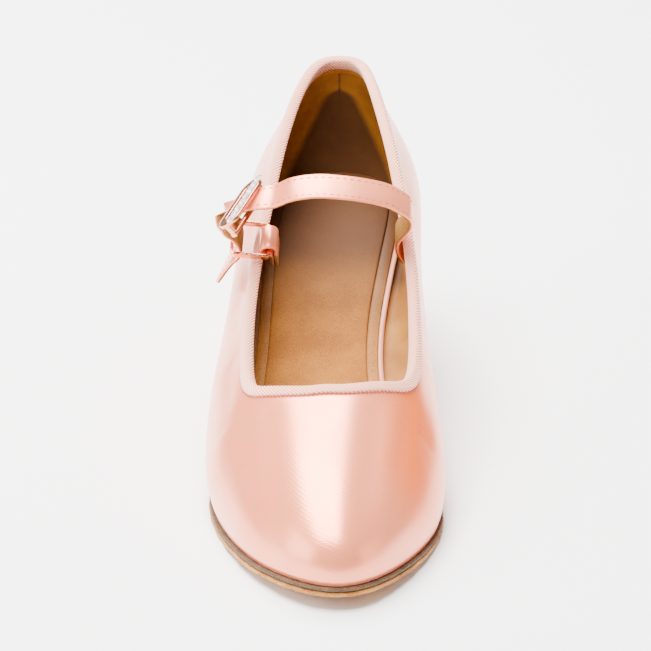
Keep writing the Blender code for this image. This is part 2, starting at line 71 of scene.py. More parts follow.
# along, share of the heel rise, share of the toe spring
seatProfile = [
    (0.00, 1.000, 0.00), (0.10, 0.965, 0.00), (0.22, 0.865, 0.00), (0.35, 0.600, 0.00),
    (0.50, 0.220, 0.00), (0.62, 0.045, 0.00), (0.69, 0.000, 0.00), (0.78, 0.000, 0.00),
    (0.90, 0.000, 0.42), (1.00, 0.000, 1.00),
]


def hermite(t, start, startSlope, end, endSlope):
    return ((2 * t**3 - 3 * t**2 + 1) * start + (t**3 - 2 * t**2 + t) * startSlope
            + (3 * t**2 - 2 * t**3) * end + (t**3 - t**2) * endSlope)


def risingCurve(places, values, at):
    widths = np.diff(places)
    slopes = np.diff(values) / widths
    tangents = np.zeros(len(values))
    for i in range(1, len(values) - 1):
        if slopes[i - 1] * slopes[i] > 0:
            tangents[i] = 2 * slopes[i - 1] * slopes[i] / (slopes[i - 1] + slopes[i])
    tangents[-1] = slopes[-1]
    at = np.asarray(at, dtype=float)
    i = np.clip(np.searchsorted(places, at) - 1, 0, len(widths) - 1)
    t = np.clip((at - places[i]) / widths[i], 0.0, 1.0)
    return hermite(t, values[i], widths[i] * tangents[i], values[i + 1],
                   widths[i] * tangents[i + 1])


def seatHeight(s):
    table = np.array(seatProfile)
    places = table[:, 0] * last["length"]
    return (last["soleStack"] + last["heelRise"] * risingCurve(places, table[:, 1], s)
            + last["toeSpring"] * risingCurve(places, table[:, 2], s))


def toModel(points):
    points = np.asarray(points, dtype=float)
    return np.stack([points[..., 0], last["heelCentre"] - points[..., 1], points[..., 2]], axis=-1)


def underSeat(ring, drop):
    # points of a ring of (x, along), square under the seat by drop
    x, s = ring[..., 0], ring[..., 1]
    step = 0.0005
    slope = (seatHeight(s + step) - seatHeight(s - step)) / (2 * step)
    size = np.hypot(1.0, slope)
    return toModel(np.stack([x, s + slope * drop / size, seatHeight(s) - drop / size], axis=-1))


def closedCurve(keys, steps):
    keys = np.array(keys, dtype=float)
    count = len(keys)
    system = np.zeros((count, count))
    for i in range(count):
        system[i, i] = 4
        system[i, (i + 1) % count] = 1
        system[i, (i - 1) % count] = 1
    slopes = np.linalg.solve(system, 3 * (np.roll(keys, -1, 0) - np.roll(keys, 1, 0)))
    t = (np.arange(steps) / steps)[:, None]
    points = []
    for i in range(count):
        j = (i + 1) % count
        points.append(hermite(t, keys[i], slopes[i], keys[j], slopes[j]))
    return np.vstack(points)


def around(outer, inner):
    return list(outer) + list(inner)[-2:0:-1]


def seatRing():
    outer = [(-row[1] * last["ballWidth"], row[0] * last["length"]) for row in sections]
    inner = [(row[2] * last["ballWidth"], row[0] * last["length"]) for row in sections]
    return closedCurve(around(outer, inner), last["spanSteps"])


def rimRing():
    outer, inner = [], []
    for k, row in enumerate(sections):
        height = last["backHeight"] if k < 4 else last["instepHeight"]
        outer.append((-row[4] * last["collarWidth"], row[3] * last["length"], row[6] * height))
        inner.append((row[5] * last["collarWidth"], row[3] * last["length"], row[7] * height))
    return closedCurve(around(outer, inner), last["spanSteps"])


def outwardOf(ring):
    ahead = np.roll(ring[:, :2], -1, 0) - np.roll(ring[:, :2], 1, 0)
    ahead /= np.linalg.norm(ahead, axis=1)[:, None]
    return np.stack([-ahead[:, 1], ahead[:, 0]], axis=1)


def insetRing(distance):
    ring = seatRing()
    return ring - outwardOf(ring) * distance


def wallGrid(levels):
    # rows of points of the upper's outer face in the model's axes, from seat to rim
    seat, rim = seatRing(), rimRing()
    outerShape = [(row[8], row[10], row[11], row[12], row[13]) for row in sections]
    innerShape = [(row[9], row[10], row[11], row[12], row[13]) for row in sections]
    shape = closedCurve(around(outerShape, innerShape), last["spanSteps"])
    low = np.column_stack([seat, seatHeight(seat[:, 1])])
    high = np.column_stack([rim[:, :2], seatHeight(rim[:, 1]) + rim[:, 2]])
    flare, lean = np.radians(shape[:, :1]), np.radians(shape[:, 1:2])
    reach = np.linalg.norm(high - low, axis=1)[:, None]
    leaving = np.hstack([outwardOf(seat) * np.sin(flare), np.cos(flare)])
    lowHandle = low + shape[:, 2:3] * reach * leaving
    spread = (low - high)[:, :2]
    spread /= np.linalg.norm(spread, axis=1)[:, None]
    fan = shape[:, 4:5]
    rimOut = outwardOf(rim) * (1 - fan) + spread * fan
    rimOut /= np.linalg.norm(rimOut, axis=1)[:, None]
    highHandle = high + shape[:, 3:4] * reach * np.hstack([rimOut * np.sin(lean), -np.cos(lean)])
    v = np.asarray(levels)[:, None, None]
    return toModel((1 - v)**3 * low + 3 * (1 - v)**2 * v * lowHandle
                   + 3 * (1 - v) * v**2 * highHandle + v**3 * high)


# Mesh helpers
def unit(vectors):
    return vectors / np.maximum(np.linalg.norm(vectors, axis=-1, keepdims=True), 1e-12)


def addPiece(name, verts, faces, material, uvs=None, sharpAngle=None):
    mesh = bpy.data.meshes.new(name)
    mesh.from_pydata([tuple(float(c) for c in v) for v in verts], [], faces)
    if uvs is not None:
        layer = mesh.uv_layers.new(name="cloth")
        layer.data.foreach_set("uv", np.asarray(uvs, dtype=np.float32).ravel())
    work = bmesh.new()
    work.from_mesh(mesh)
    bmesh.ops.recalc_face_normals(work, faces=work.faces)
    work.to_mesh(mesh)
    work.free()
    mesh.shade_smooth()
    if sharpAngle:
        mesh.set_sharp_from_angle(angle=math.radians(sharpAngle))
    mesh.materials.append(material)
    piece = bpy.data.objects.new(name, mesh)
    bpy.context.scene.collection.objects.link(piece)
    return piece


def gridPiece(name, grid, material, wrapRows=False, caps=False, sharpAngle=None):
    # each row is a closed loop; the first UV runs along it, the second across the rows,
    # both in metres
    rows, cols = grid.shape[:2]
    nextRow = np.roll(grid, -1, 0)
    nextCol = np.roll(grid, -1, 1)
    middle = rows // 2
    colSteps = np.linalg.norm(nextCol[middle] - grid[middle], axis=1)
    rowSteps = np.linalg.norm(nextRow - grid, axis=2).mean(axis=1)
    u = np.concatenate([[0.0], np.cumsum(colSteps)])
    v = np.concatenate([[0.0], np.cumsum(rowSteps)])
    faces, uvs = [], []
    for r in range(rows if wrapRows else rows - 1):
        q = (r + 1) % rows
        for i in range(cols):
            j = (i + 1) % cols
            faces.append((r * cols + i, r * cols + j, q * cols + j, q * cols + i))
            uvs += [(u[i], v[r]), (u[i + 1], v[r]), (u[i + 1], v[r + 1]), (u[i], v[r + 1])]
    if caps:
        for r in (0, rows - 1):
            faces.append(tuple(r * cols + i for i in range(cols)))
            uvs += [(u[i], v[r]) for i in range(cols)]
    return addPiece(name, grid.reshape(-1, 3), faces, material, uvs, sharpAngle)


def pathNormals(grid):
    # outward normals of a closed wall whose columns run round the shoe
    onward = np.roll(grid, -1, 1) - np.roll(grid, 1, 1)
    upward = np.gradient(grid, axis=0)
    normals = unit(np.cross(upward, onward))
    centre = grid.mean(axis=1, keepdims=True)
    if ((grid - centre) * normals)[:, :, :2].sum() < 0:
        normals = -normals
    return normals


def finishPiece(piece, slot, *nodes):
    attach(piece, "root")
    if nodes:
        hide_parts(*nodes)
    return piece


# Node groups that several materials share
def newGroup(name, inputs, outputs):
    tree = bpy.data.node_groups.new(name, "ShaderNodeTree")
    for label, kind, value in inputs:
        socket = tree.interface.new_socket(name=label, in_out="INPUT", socket_type=kind)
        if value is not None:
            socket.default_value = value
    for label, kind in outputs:
        tree.interface.new_socket(name=label, in_out="OUTPUT", socket_type=kind)
    return tree, tree.nodes.new("NodeGroupInput"), tree.nodes.new("NodeGroupOutput")


def mathNode(tree, operation, first, second=None, third=None):
    node = tree.nodes.new("ShaderNodeMath")
    node.operation = operation
    for socket, value in zip(node.inputs, (first, second, third)):
        if value is None:
            continue
        if isinstance(value, (int, float)):
            socket.default_value = value
        else:
            tree.links.new(value, socket)
    return node.outputs[0]


def buildRibGroup():
    # parallel ribs: the direction is in radians for each metre of the pattern's vector
    tree, given, out = newGroup("clothRibs", [
        ("Vector", "NodeSocketVector", None),
        ("Direction", "NodeSocketVector", (1000.0, 1000.0, 0.0)),
        ("Sharpness", "NodeSocketFloat", 1.0)], [("Height", "NodeSocketFloat")])
    dot = tree.nodes.new("ShaderNodeVectorMath")
    dot.operation = "DOT_PRODUCT"
    tree.links.new(given.outputs["Vector"], dot.inputs[0])
    tree.links.new(given.outputs["Direction"], dot.inputs[1])
    wave = mathNode(tree, "SINE", dot.outputs["Value"])
    half = mathNode(tree, "MULTIPLY_ADD", wave, 0.5, 0.5)
    shaped = mathNode(tree, "POWER", half, given.outputs["Sharpness"])
    tree.links.new(shaped, out.inputs["Height"])
    return tree


def buildNapGroup():
    # short fibres of suede, leather grain and soft mottling
    tree, given, out = newGroup("napAndMottle", [
        ("Vector", "NodeSocketVector", None),
        ("Fibre", "NodeSocketFloat", 2500.0),
        ("Patch", "NodeSocketFloat", 90.0)],
        [("Height", "NodeSocketFloat"), ("Mottle", "NodeSocketFloat")])
    fine = tree.nodes.new("ShaderNodeTexNoise")
    fine.inputs["Detail"].default_value = 3.0
    broad = tree.nodes.new("ShaderNodeTexNoise")
    broad.inputs["Detail"].default_value = 4.0
    for node, label in ((fine, "Fibre"), (broad, "Patch")):
        tree.links.new(given.outputs["Vector"], node.inputs["Vector"])
        tree.links.new(given.outputs[label], node.inputs["Scale"])
    tree.links.new(fine.outputs["Fac"], out.inputs["Height"])
    tree.links.new(broad.outputs["Fac"], out.inputs["Mottle"])
    return tree


ribGroup = buildRibGroup()
napGroup = buildNapGroup()


# Materials
def startMaterial(name, colour, roughness, **values):
    material = bpy.data.materials.new(name)
    material.use_nodes = True
    tree = material.node_tree
    shader = tree.nodes["Principled BSDF"]
    shader.inputs["Base Color"].default_value = (*colour, 1.0)
    shader.inputs["Roughness"].default_value = roughness
    for label, value in values.items():
        shader.inputs[label].default_value = value
    return material, tree, shader


def coordinates(tree, kind="Object"):
    node = tree.nodes.new("ShaderNodeTexCoord")
    return node.outputs[kind]


def placeParts(tree, place):
    node = tree.nodes.new("ShaderNodeSeparateXYZ")
    tree.links.new(place, node.inputs[0])
    return node


def groupNode(tree, group, vector, **values):
    node = tree.nodes.new("ShaderNodeGroup")
    node.node_tree = group
    tree.links.new(vector, node.inputs["Vector"])
    for label, value in values.items():
        node.inputs[label].default_value = value
    return node


def mixColours(tree, factor, first, second):
    node = tree.nodes.new("ShaderNodeMix")
    node.data_type = "RGBA"
    sockets = {s.identifier: s for s in node.inputs}
    for key, value in (("Factor_Float", factor), ("A_Color", first), ("B_Color", second)):
        if isinstance(value, (int, float)):
            sockets[key].default_value = value
        elif isinstance(value, tuple):
            sockets[key].default_value = (*value, 1.0)
        else:
            tree.links.new(value, sockets[key])
    return [s for s in node.outputs if s.identifier == "Result_Color"][0]


def ramp(tree, value, low, high, toLow=0.0, toHigh=1.0):
    node = tree.nodes.new("ShaderNodeMapRange")
    node.interpolation_type = "SMOOTHSTEP"
    limits = (("From Min", low), ("From Max", high), ("To Min", toLow), ("To Max", toHigh))
    for label, number in limits:
        node.inputs[label].default_value = number
    tree.links.new(value, node.inputs["Value"])
    return node.outputs["Result"]


def bump(tree, shader, height, strength, distance):
    node = tree.nodes.new("ShaderNodeBump")
    node.inputs["Strength"].default_value = strength
    node.inputs["Distance"].default_value = distance
    tree.links.new(height, node.inputs["Height"])
    tree.links.new(node.outputs["Normal"], shader.inputs["Normal"])


satinLook = {
    "light": (0.97, 0.30, 0.15),
    "deep": (0.93, 0.20, 0.08),
    # painted warm light for the inner side of the foot
    "paintedWarmLight": (0.98, 0.165, 0.012),
    "metallic": 0.45,
    "roughness": 0.30,
    "coat": 0.5,
    "coatRoughness": 0.24,
    "weavePitch": 0.0007,
    "threadShare": 0.22,
    "seamDepth": 8.0,
}
bareLeather = (0.30, 0.15, 0.055)


def satinMaterial(name, paintedWarmLight=False, liningBelow=None):
    # below the height liningBelow, the ribbon shows its bare leather
    material, tree, shader = startMaterial(
        name, satinLook["light"], satinLook["roughness"],
        **{"Metallic": satinLook["metallic"], "Coat Weight": satinLook["coat"],
           "Coat Roughness": satinLook["coatRoughness"]})
    cloth = coordinates(tree, "UV")
    place = coordinates(tree)
    turn = 2 * math.pi / satinLook["weavePitch"]
    warp = groupNode(tree, ribGroup, cloth, Direction=(turn * 0.8, turn * 0.6, 0.0), Sharpness=1.2)
    weft = groupNode(tree, ribGroup, cloth, Direction=(-turn * 0.75, turn * 1.1, 0.0),
                     Sharpness=1.0)
    mottle = groupNode(tree, napGroup, place, Fibre=1800.0, Patch=45.0)
    weave = mathNode(tree, "ADD", warp.outputs["Height"], weft.outputs["Height"])
    weave = mathNode(tree, "ADD", weave, mottle.outputs["Height"])
    parts = placeParts(tree, place)
    # the seam down the back of the heel
    across = mathNode(tree, "ABSOLUTE", parts.outputs["X"])
    seam = mathNode(tree, "MULTIPLY", ramp(tree, across, 0.0001, 0.0006, 1.0, 0.0),
                    ramp(tree, parts.outputs["Y"], 0.008, 0.010))
    relief = mathNode(tree, "MULTIPLY_ADD", seam, -satinLook["seamDepth"], weave)
    bump(tree, shader, relief, 0.10, 0.00012)
    patches = ramp(tree, mottle.outputs["Mottle"], 0.35, 0.7, 0.15, 0.5)
    colour = mixColours(tree, patches, satinLook["light"], satinLook["deep"])
    threads = ramp(tree, weave, 0.8, 2.2, 0.0, satinLook["threadShare"])
    colour = mixColours(tree, threads, colour, satinLook["deep"])
    if paintedWarmLight:
        # painted warm light: the inner side of the foot is tinted a deeper salmon, as if a warm
        # light fell on it
        side = ramp(tree, parts.outputs["X"], 0.014, 0.030)
        length = ramp(tree, parts.outputs["Y"], -0.205, -0.165)
        amount = mathNode(tree, "MULTIPLY", side, length)
        colour = mixColours(tree, amount, colour, satinLook["paintedWarmLight"])
    if liningBelow is not None:
        low = ramp(tree, parts.outputs["Z"], liningBelow - 0.0004, liningBelow, 1.0, 0.0)
        colour = mixColours(tree, low, colour, bareLeather)
    tree.links.new(colour, shader.inputs["Base Color"])
    rough = ramp(tree, mottle.outputs["Mottle"], 0.3, 0.7, satinLook["roughness"] - 0.03,
                 satinLook["roughness"] + 0.04)
    tree.links.new(rough, shader.inputs["Roughness"])
    return material


tapeLook = {"ribPitch": 0.00105, "paintedGrooveShade": (0.74, 0.13, 0.06), "rib": (0.98, 0.50, 0.34)}


def tapeMaterial():
    material, tree, shader = startMaterial("ribbedTape", tapeLook["rib"], 0.55,
                                           **{"Sheen Weight": 0.3, "Specular IOR Level": 0.5})
    cloth = coordinates(tree, "UV")
    turn = 2 * math.pi / tapeLook["ribPitch"]
    ribs = groupNode(tree, ribGroup, cloth, Direction=(turn, turn * 0.8, 0.0), Sharpness=0.7)
    # painted shade: the grooves between the ribs are coloured darker
    colour = mixColours(tree, ramp(tree, ribs.outputs["Height"], 0.1, 0.7),
                        tapeLook["paintedGrooveShade"], tapeLook["rib"])
    tree.links.new(colour, shader.inputs["Base Color"])
    bump(tree, shader, ribs.outputs["Height"], 0.8, 0.0003)
    return material


def napMaterial(name, low, high, roughness, fibre=2500.0, patch=90.0, strength=0.4,
                distance=0.0003, paintedHeelShade=None, sheen=0.3):
    material, tree, shader = startMaterial(
        name, high, roughness, **{"Sheen Weight": sheen, "Specular IOR Level": 0.25})
    place = coordinates(tree)
    nap = groupNode(tree, napGroup, place, Fibre=fibre, Patch=patch)
    blend = mathNode(tree, "ADD", mathNode(tree, "MULTIPLY", nap.outputs["Height"], 0.6),
                     mathNode(tree, "MULTIPLY", nap.outputs["Mottle"], 0.5))
    colour = mixColours(tree, ramp(tree, blend, 0.38, 0.72), low, high)
    # painted shade: darker towards the heel, where the inside of the shoe lies in shadow
    if paintedHeelShade:
        parts = placeParts(tree, place)
        amount = ramp(tree, parts.outputs["Y"], -0.082, -0.035, 0.0, paintedHeelShade[3])
        colour = mixColours(tree, amount, colour, tuple(paintedHeelShade[:3]))
    tree.links.new(colour, shader.inputs["Base Color"])
    bump(tree, shader, nap.outputs["Height"], strength, distance)
    return material


# the painted shade in the heel has a half width of its reach less its taper for each metre of
# height
liningLook = {
    "dark": (0.29, 0.105, 0.012),
    "light": (0.44, 0.185, 0.026),
    "paintedShade": (0.07, 0.026, 0.007),
    "seam": (0.08, 0.035, 0.012),
    "roughness": 0.65,
    "paintedShadeShare": 0.9,
    "paintedShadeReach": 0.0460,
    "paintedShadeTaper": 0.48,
    "seamShare": 0.6,
}


def liningMaterial():
    look = liningLook
    material, tree, shader = startMaterial("liningLeather", look["light"], look["roughness"],
                                           **{"Specular IOR Level": 0.25})
    place = coordinates(tree)
    grain = groupNode(tree, napGroup, place, Fibre=1500.0, Patch=60.0)
    colour = mixColours(tree, ramp(tree, grain.outputs["Mottle"], 0.35, 0.7),
                        look["dark"], look["light"])
    parts = placeParts(tree, place)
    across = mathNode(tree, "ABSOLUTE", parts.outputs["X"])
    # painted shade in the heel, standing in for the shadow there, wider towards the seat
    reach = mathNode(tree, "MULTIPLY_ADD", parts.outputs["Z"], -look["paintedShadeTaper"],
                     look["paintedShadeReach"])
    inside = mathNode(tree, "SUBTRACT", reach, across)
    top = ramp(tree, parts.outputs["Z"], 0.083, 0.093)
    inside = mathNode(tree, "MULTIPLY_ADD", top, -0.01, inside)
    back = mathNode(tree, "MULTIPLY", ramp(tree, inside, -0.0015, 0.0025),
                    ramp(tree, parts.outputs["Y"], -0.060, -0.045))
    amount = mathNode(tree, "MULTIPLY", back, look["paintedShadeShare"])
    colour = mixColours(tree, amount, colour, look["paintedShade"])
    seam = mathNode(tree, "MULTIPLY", ramp(tree, across, 0.0002, 0.0006, 1.0, 0.0),
                    ramp(tree, parts.outputs["Z"], 0.078, 0.082))
    amount = mathNode(tree, "MULTIPLY", seam, look["seamShare"])
    colour = mixColours(tree, amount, colour, look["seam"])
    tree.links.new(colour, shader.inputs["Base Color"])
    height = mathNode(tree, "SUBTRACT", grain.outputs["Height"], seam)
    bump(tree, shader, height, 0.3, 0.0003)
    return material


insoleLook = {"light": (0.90, 0.38, 0.25), "deep": (0.74, 0.24, 0.13), "roughness": 0.3}


def insoleMaterial():
    # satin on the inner side of the foot, bare leather on the other
    material, tree, shader = startMaterial(
        "insoleSatin", insoleLook["light"], insoleLook["roughness"],
        **{"Sheen Weight": 0.25, "Specular IOR Level": 0.6})
    place = coordinates(tree)
    parts = placeParts(tree, place)
    mottle = groupNode(tree, napGroup, place, Fibre=1800.0, Patch=60.0)
    inner = ramp(tree, parts.outputs["X"], -0.004, 0.006)
    pink = mixColours(tree, ramp(tree, mottle.outputs["Mottle"], 0.35, 0.7),
                      insoleLook["light"], insoleLook["deep"])
    colour = mixColours(tree, inner, bareLeather, pink)
    tree.links.new(colour, shader.inputs["Base Color"])
    bump(tree, shader, mottle.outputs["Height"], 0.12, 0.0002)
    return material


def metalMaterial(name, colour, roughness):
    material, tree, shader = startMaterial(name, colour, roughness, Metallic=1.0)
    place = coordinates(tree)
    marks = groupNode(tree, napGroup, place, Fibre=900.0, Patch=300.0)
    rough = ramp(tree, marks.outputs["Mottle"], 0.3, 0.8, roughness * 0.7, roughness * 1.8)
    tree.links.new(rough, shader.inputs["Roughness"])
    return material


crystalLook = {"light": (1.0, 1.0, 1.0), "dark": (0.62, 0.48, 0.44), "roughness": 0.04}


def crystalMaterial():
    material, tree, shader = startMaterial(
        "crystal", crystalLook["light"], crystalLook["roughness"],
        **{"Metallic": 0.4, "Coat Weight": 1.0, "Coat Roughness": 0.02, "IOR": 1.6})
    place = coordinates(tree)
    marks = groupNode(tree, napGroup, place, Fibre=1600.0, Patch=700.0)
    colour = mixColours(tree, ramp(tree, marks.outputs["Mottle"], 0.4, 0.6),
                        crystalLook["light"], crystalLook["dark"])
    tree.links.new(colour, shader.inputs["Base Color"])
    return material


satin = satinMaterial("satin", paintedWarmLight=True)
trimSatin = satinMaterial("trimSatin")
edgeSatin = insoleMaterial()
tape = tapeMaterial()
# name, dark and light colour, roughness, fibre and patch, bump strength and distance,
# colour and share of the painted shade in the heel, sheen
thread = napMaterial("thread", (0.42, 0.08, 0.045), (0.55, 0.13, 0.08), 0.6, 4000.0, 200.0)
lining = liningMaterial()
strapLining = napMaterial("strapLining", (0.17, 0.065, 0.009), (0.30, 0.13, 0.02), 0.65,
                          1500.0, 80.0, sheen=0.0)
liningEdge = napMaterial("liningEdge", (0.42, 0.15, 0.015), (0.62, 0.27, 0.04), 0.6, 1800.0, 90.0,
                         sheen=0.0)
sock = napMaterial("sockBorder", (0.27, 0.095, 0.010), (0.42, 0.165, 0.022), 0.6, 1600.0, 60.0,
                   0.2, 0.0002, (0.05, 0.016, 0.004, 0.9), 0.0)
pad = napMaterial("sockSuede", (0.24, 0.075, 0.005), (0.40, 0.145, 0.012), 0.8, 2200.0, 70.0,
                  0.35, 0.0002, (0.045, 0.014, 0.003, 0.93), 0.0)
soleEdge = napMaterial("soleEdge", (0.05, 0.026, 0.013), (0.14, 0.075, 0.036), 0.75, 1500.0, 250.0,
                       0.5, 0.0003, None, 0.1)
soleSuede = napMaterial("soleSuede", (0.26, 0.09, 0.012), (0.58, 0.25, 0.045), 0.9, 1400.0, 120.0,
                        0.9, 0.0005, None, 0.2)
tipRubber = napMaterial("tipRubber", (0.12, 0.065, 0.03), (0.24, 0.14, 0.07), 0.8, 1500.0, 150.0)
roseGold = metalMaterial("roseGold", (0.80, 0.30, 0.17), 0.12)
crystal = crystalMaterial()
print("materials made")

# Upper: satin outside, lining leather inside, both from the last's own wall
upperMake = {"wall": 0.0016, "satinThickness": 0.0008, "gap": 0.00005, "lastingMargin": 0.0070,
             "marginRows": 3, "rows": 46, "rowPower": 0.9, "creaseFade": 0.12,
             "turnBelow": 0.3, "turnAbove": 0.5}

# soft troughs and ridges of the satin: from x, y, to x, y, half width, height
creases = [
    (0.0165, -0.148, 0.0135, -0.204, 0.0042, -0.00042),
    (-0.0190, -0.148, -0.0150, -0.202, 0.0046, -0.00038),
    (-0.0030, -0.148, -0.0020, -0.208, 0.0085, 0.00012),
    (0.0225, -0.150, 0.0195, -0.190, 0.0030, 0.00025),
    (0.0275, -0.138, 0.0240, -0.172, 0.0024, -0.00028),
    (-0.0280, -0.138, -0.0245, -0.168, 0.0024, -0.00024),
    (0.0345, -0.115, 0.0330, -0.150, 0.0030, -0.00026),
    (-0.0330, -0.112, -0.0335, -0.140, 0.0030, -0.00024),
    (0.0240, -0.040, 0.0285, -0.080, 0.0040, -0.00022),
]


def creaseHeight(wall, levels):
    height = np.zeros(wall.shape[:2])
    for x0, y0, x1, y1, width, depth in creases:
        start, run = np.array([x0, y0]), np.array([x1 - x0, y1 - y0])
        share = np.clip(((wall[..., :2] - start) @ run) / (run @ run), 0.0, 1.0)
        gap = np.linalg.norm(wall[..., :2] - start - share[..., None] * run, axis=-1)
        height += depth * np.exp(-(gap / width)**2)
    fade = (np.clip((1 - levels) / upperMake["creaseFade"], 0.0, 1.0)
            * np.clip(levels / upperMake["creaseFade"], 0.0, 1.0))
    return height * fade[:, None]


def makeUpper():
    levels = np.linspace(0.0, 1.0, upperMake["rows"])**upperMake["rowPower"]
    wall = wallGrid(levels)
    wall = wall + pathNormals(wall) * creaseHeight(wall, levels)[..., None]
    turned = upperMake["marginRows"]
    margins = [underSeat(insetRing(upperMake["lastingMargin"] * k / turned), 0.0)
               for k in range(turned, 0, -1)]
    outer = np.concatenate([np.array(margins), wall])
    normals = pathNormals(wall)
    under = np.zeros((turned,) + normals.shape[1:])
    under[..., 2] = -1.0
    normals = np.concatenate([under, normals])
    # the rows on both sides of the bottom edge share their directions
    normals[turned - 1] = unit(normals[turned - 1] + upperMake["turnBelow"] * normals[turned])
    normals[turned] = unit(normals[turned] + upperMake["turnAbove"] * normals[turned - 1])
    satinInside = outer - normals * upperMake["satinThickness"]
    skin = gridPiece("upperSatin", np.concatenate([outer, satinInside[::-1]]), satin, wrapRows=True)
    liningOutside = outer - normals * (upperMake["satinThickness"] + upperMake["gap"])
    liningInside = outer - normals * upperMake["wall"]
    inside = gridPiece("upperLining", np.concatenate([liningOutside, liningInside[::-1]]), lining,
                       wrapRows=True)
    finishPiece(skin, "satin", "upper")
    finishPiece(inside, "sock_border")


makeUpper()
print("upper made")

# Binding over the collar and throat edge, and the strip of lining that shows inside it
bindingMake = {"thickness": 0.0007, "depth": 0.0036, "clearance": 0.0003, "roundSteps": 8,
               "strip": 0.0020, "stripEnd": 0.585}


def rimFrame():
    rows = wallGrid([0.90, 1.0])
    below, rim = rows
    up = unit(rim - below)
    ahead = unit(np.roll(rim, -1, 0) - np.roll(rim, 1, 0))
    inward = unit(np.cross(up, ahead))
    centre = rim.mean(axis=0)
    if ((centre - rim) * inward)[:, :2].sum() < 0:
        inward = -inward
    return rim, up, inward


def makeBinding():
    rim, up, inward = rimFrame()
    wallSize = upperMake["wall"]
    outside = -bindingMake["clearance"] - bindingMake["thickness"]
    inside = wallSize + bindingMake["clearance"] + bindingMake["thickness"]
    top = bindingMake["clearance"] + bindingMake["thickness"]
    depth = bindingMake["depth"]
    middle, half = (outside + inside) / 2, (inside - outside) / 2
    section = [(outside + 0.0003, -depth), (outside + 0.00005, -depth + 0.0003),
               (outside - 0.0001, -depth * 0.7), (outside - 0.0001, -depth * 0.4)]
    for k in range(bindingMake["roundSteps"] + 1):
        angle = math.pi * (1 - k / bindingMake["roundSteps"])
        section.append((middle + half * math.cos(angle), top * 1.05 * math.sin(angle) - 0.0002))
    section += [(inside + 0.0001, -depth * 0.4), (inside + 0.00005, -depth * 0.8),
                (inside - 0.0002, -depth), (wallSize + 0.0001, -depth),
                (wallSize + 0.0001, -0.0005), (wallSize / 2, 0.00015), (-0.0001, -0.0005),
                (-0.0001, -depth)]
    grid = np.stack([rim + inward * a + up * b for a, b in section], axis=1)
    band = gridPiece("toplineBinding", grid, tape, wrapRows=True)
    finishPiece(band, "binding_tape", "topline_binding")


def makeLiningStrip():
    rim, up, inward = rimFrame()
    wallSize = upperMake["wall"]
    end = bindingMake["stripEnd"] * last["length"]
    along = last["heelCentre"] - rim[:, 1]
    count = len(rim)
    kept = [i % count for i in range(-(count // 2), count // 2) if along[i % count] < end]
    low, high = -bindingMake["depth"] - bindingMake["strip"], -bindingMake["depth"] + 0.0004
    section = [(wallSize + 0.0001, high), (wallSize + 0.0003, high - 0.0001),
               (wallSize + 0.0003, low + 0.0002), (wallSize + 0.0001, low)]
    grid = np.array([[rim[i] + inward[i] * a + up[i] * b for a, b in section] for i in kept])
    strip = gridPiece("liningStrip", grid, liningEdge, caps=True)
    finishPiece(strip, "sock_border")


makeBinding()
makeLiningStrip()
print("binding made")


# Insole, sock and sole layers
def keptPairs(count, startAlong):
    # indices of the ring's pairs ahead of a straight cut, on the uncut seat line
    ring = insetRing(0.0)
    half = count // 2
    if startAlong is None:
        return 0
    for i in range(half + 1):
        if min(ring[i][1], ring[(count - i) % count][1]) > startAlong + 0.0008:
            return i
    return 0


def layerPiece(name, levels, material, crossSteps=14, startAlong=None, fuzz=0.0):
    # levels are (inset, drop) from the top face's edge to the bottom face's edge
    count = len(insetRing(0.0))
    half = count // 2
    first = keptPairs(count, startAlong)
    random = np.random.default_rng(7)
    chains, pairRows = [], []
    for inset, drop in levels:
        ring = insetRing(inset)
        left = [ring[i] for i in range(first, half + 1)]
        right = [ring[(count - i) % count] for i in range(first, half + 1)]
        if startAlong is not None:
            for side, sign in ((left, -1), (right, 1)):
                before = ring[first - 1] if sign < 0 else ring[(count - first + 1) % count]
                share = (startAlong - before[1]) / (side[0][1] - before[1])
                side.insert(0, before + (side[0] - before) * share)
        left, right = np.array(left), np.array(right)
        pairRows.append((left, right, drop))
        back = right[::-1] if startAlong is not None else right[-2:0:-1]
        loop = np.vstack([left, back])
        chains.append(underSeat(loop, drop))
    chains = np.array(chains)
    if fuzz:
        shake = random.normal(0.0, fuzz, chains.shape)
        shake = (shake + np.roll(shake, 1, 1)) / 2
        shake[..., 2] *= 0.3
        chains = chains + shake
    verts = [tuple(p) for p in chains.reshape(-1, 3)]
    rows, cols = chains.shape[:2]
    faces = []
    for r in range(rows - 1):
        for i in range(cols):
            j = (i + 1) % cols
            faces.append((r * cols + i, r * cols + j, (r + 1) * cols + j, (r + 1) * cols + i))
    for level, (left, right, drop) in ((0, pairRows[0]), (rows - 1, pairRows[-1])):
        strips = []
        for k in range(len(left)):
            if np.allclose(left[k], right[k], atol=1e-6):
                strips.append([level * cols + k] * (crossSteps + 1))
                continue
            line = [level * cols + k]
            farEdge = level * cols + (cols - 1 - k if startAlong is not None else (cols - k) % cols)
            for c in range(1, crossSteps):
                q = c / crossSteps
                place = left[k] * (1 - q) + right[k] * q
                verts.append(tuple(underSeat(place[None], drop)[0]))
                line.append(len(verts) - 1)
            line.append(farEdge)
            strips.append(line)
        for near, far in zip(strips, strips[1:]):
            for c in range(crossSteps):
                face = [near[c], near[c + 1], far[c + 1], far[c]]
                unique = [v for k, v in enumerate(face) if v not in face[:k]]
                if len(unique) > 2:
                    faces.append(tuple(unique))
    return addPiece(name, verts, faces, material)


insoleMake = {"thickness": 0.0026, "inset": 0.0025, "edgeRadius": 0.0010, "edgeSteps": 5,
              "gap": 0.0003}
sockMake = {"thickness": 0.0007, "inset": 0.0041, "padInset": 0.0081, "padThickness": 0.0008}
soleMake = {"margin": 0.0012, "midsole": 0.0012, "outsole": 0.0016, "gap": 0.0003, "start": 0.0575,
            "midsoleFuzz": 0.00008, "outsoleFuzz": 0.00014}


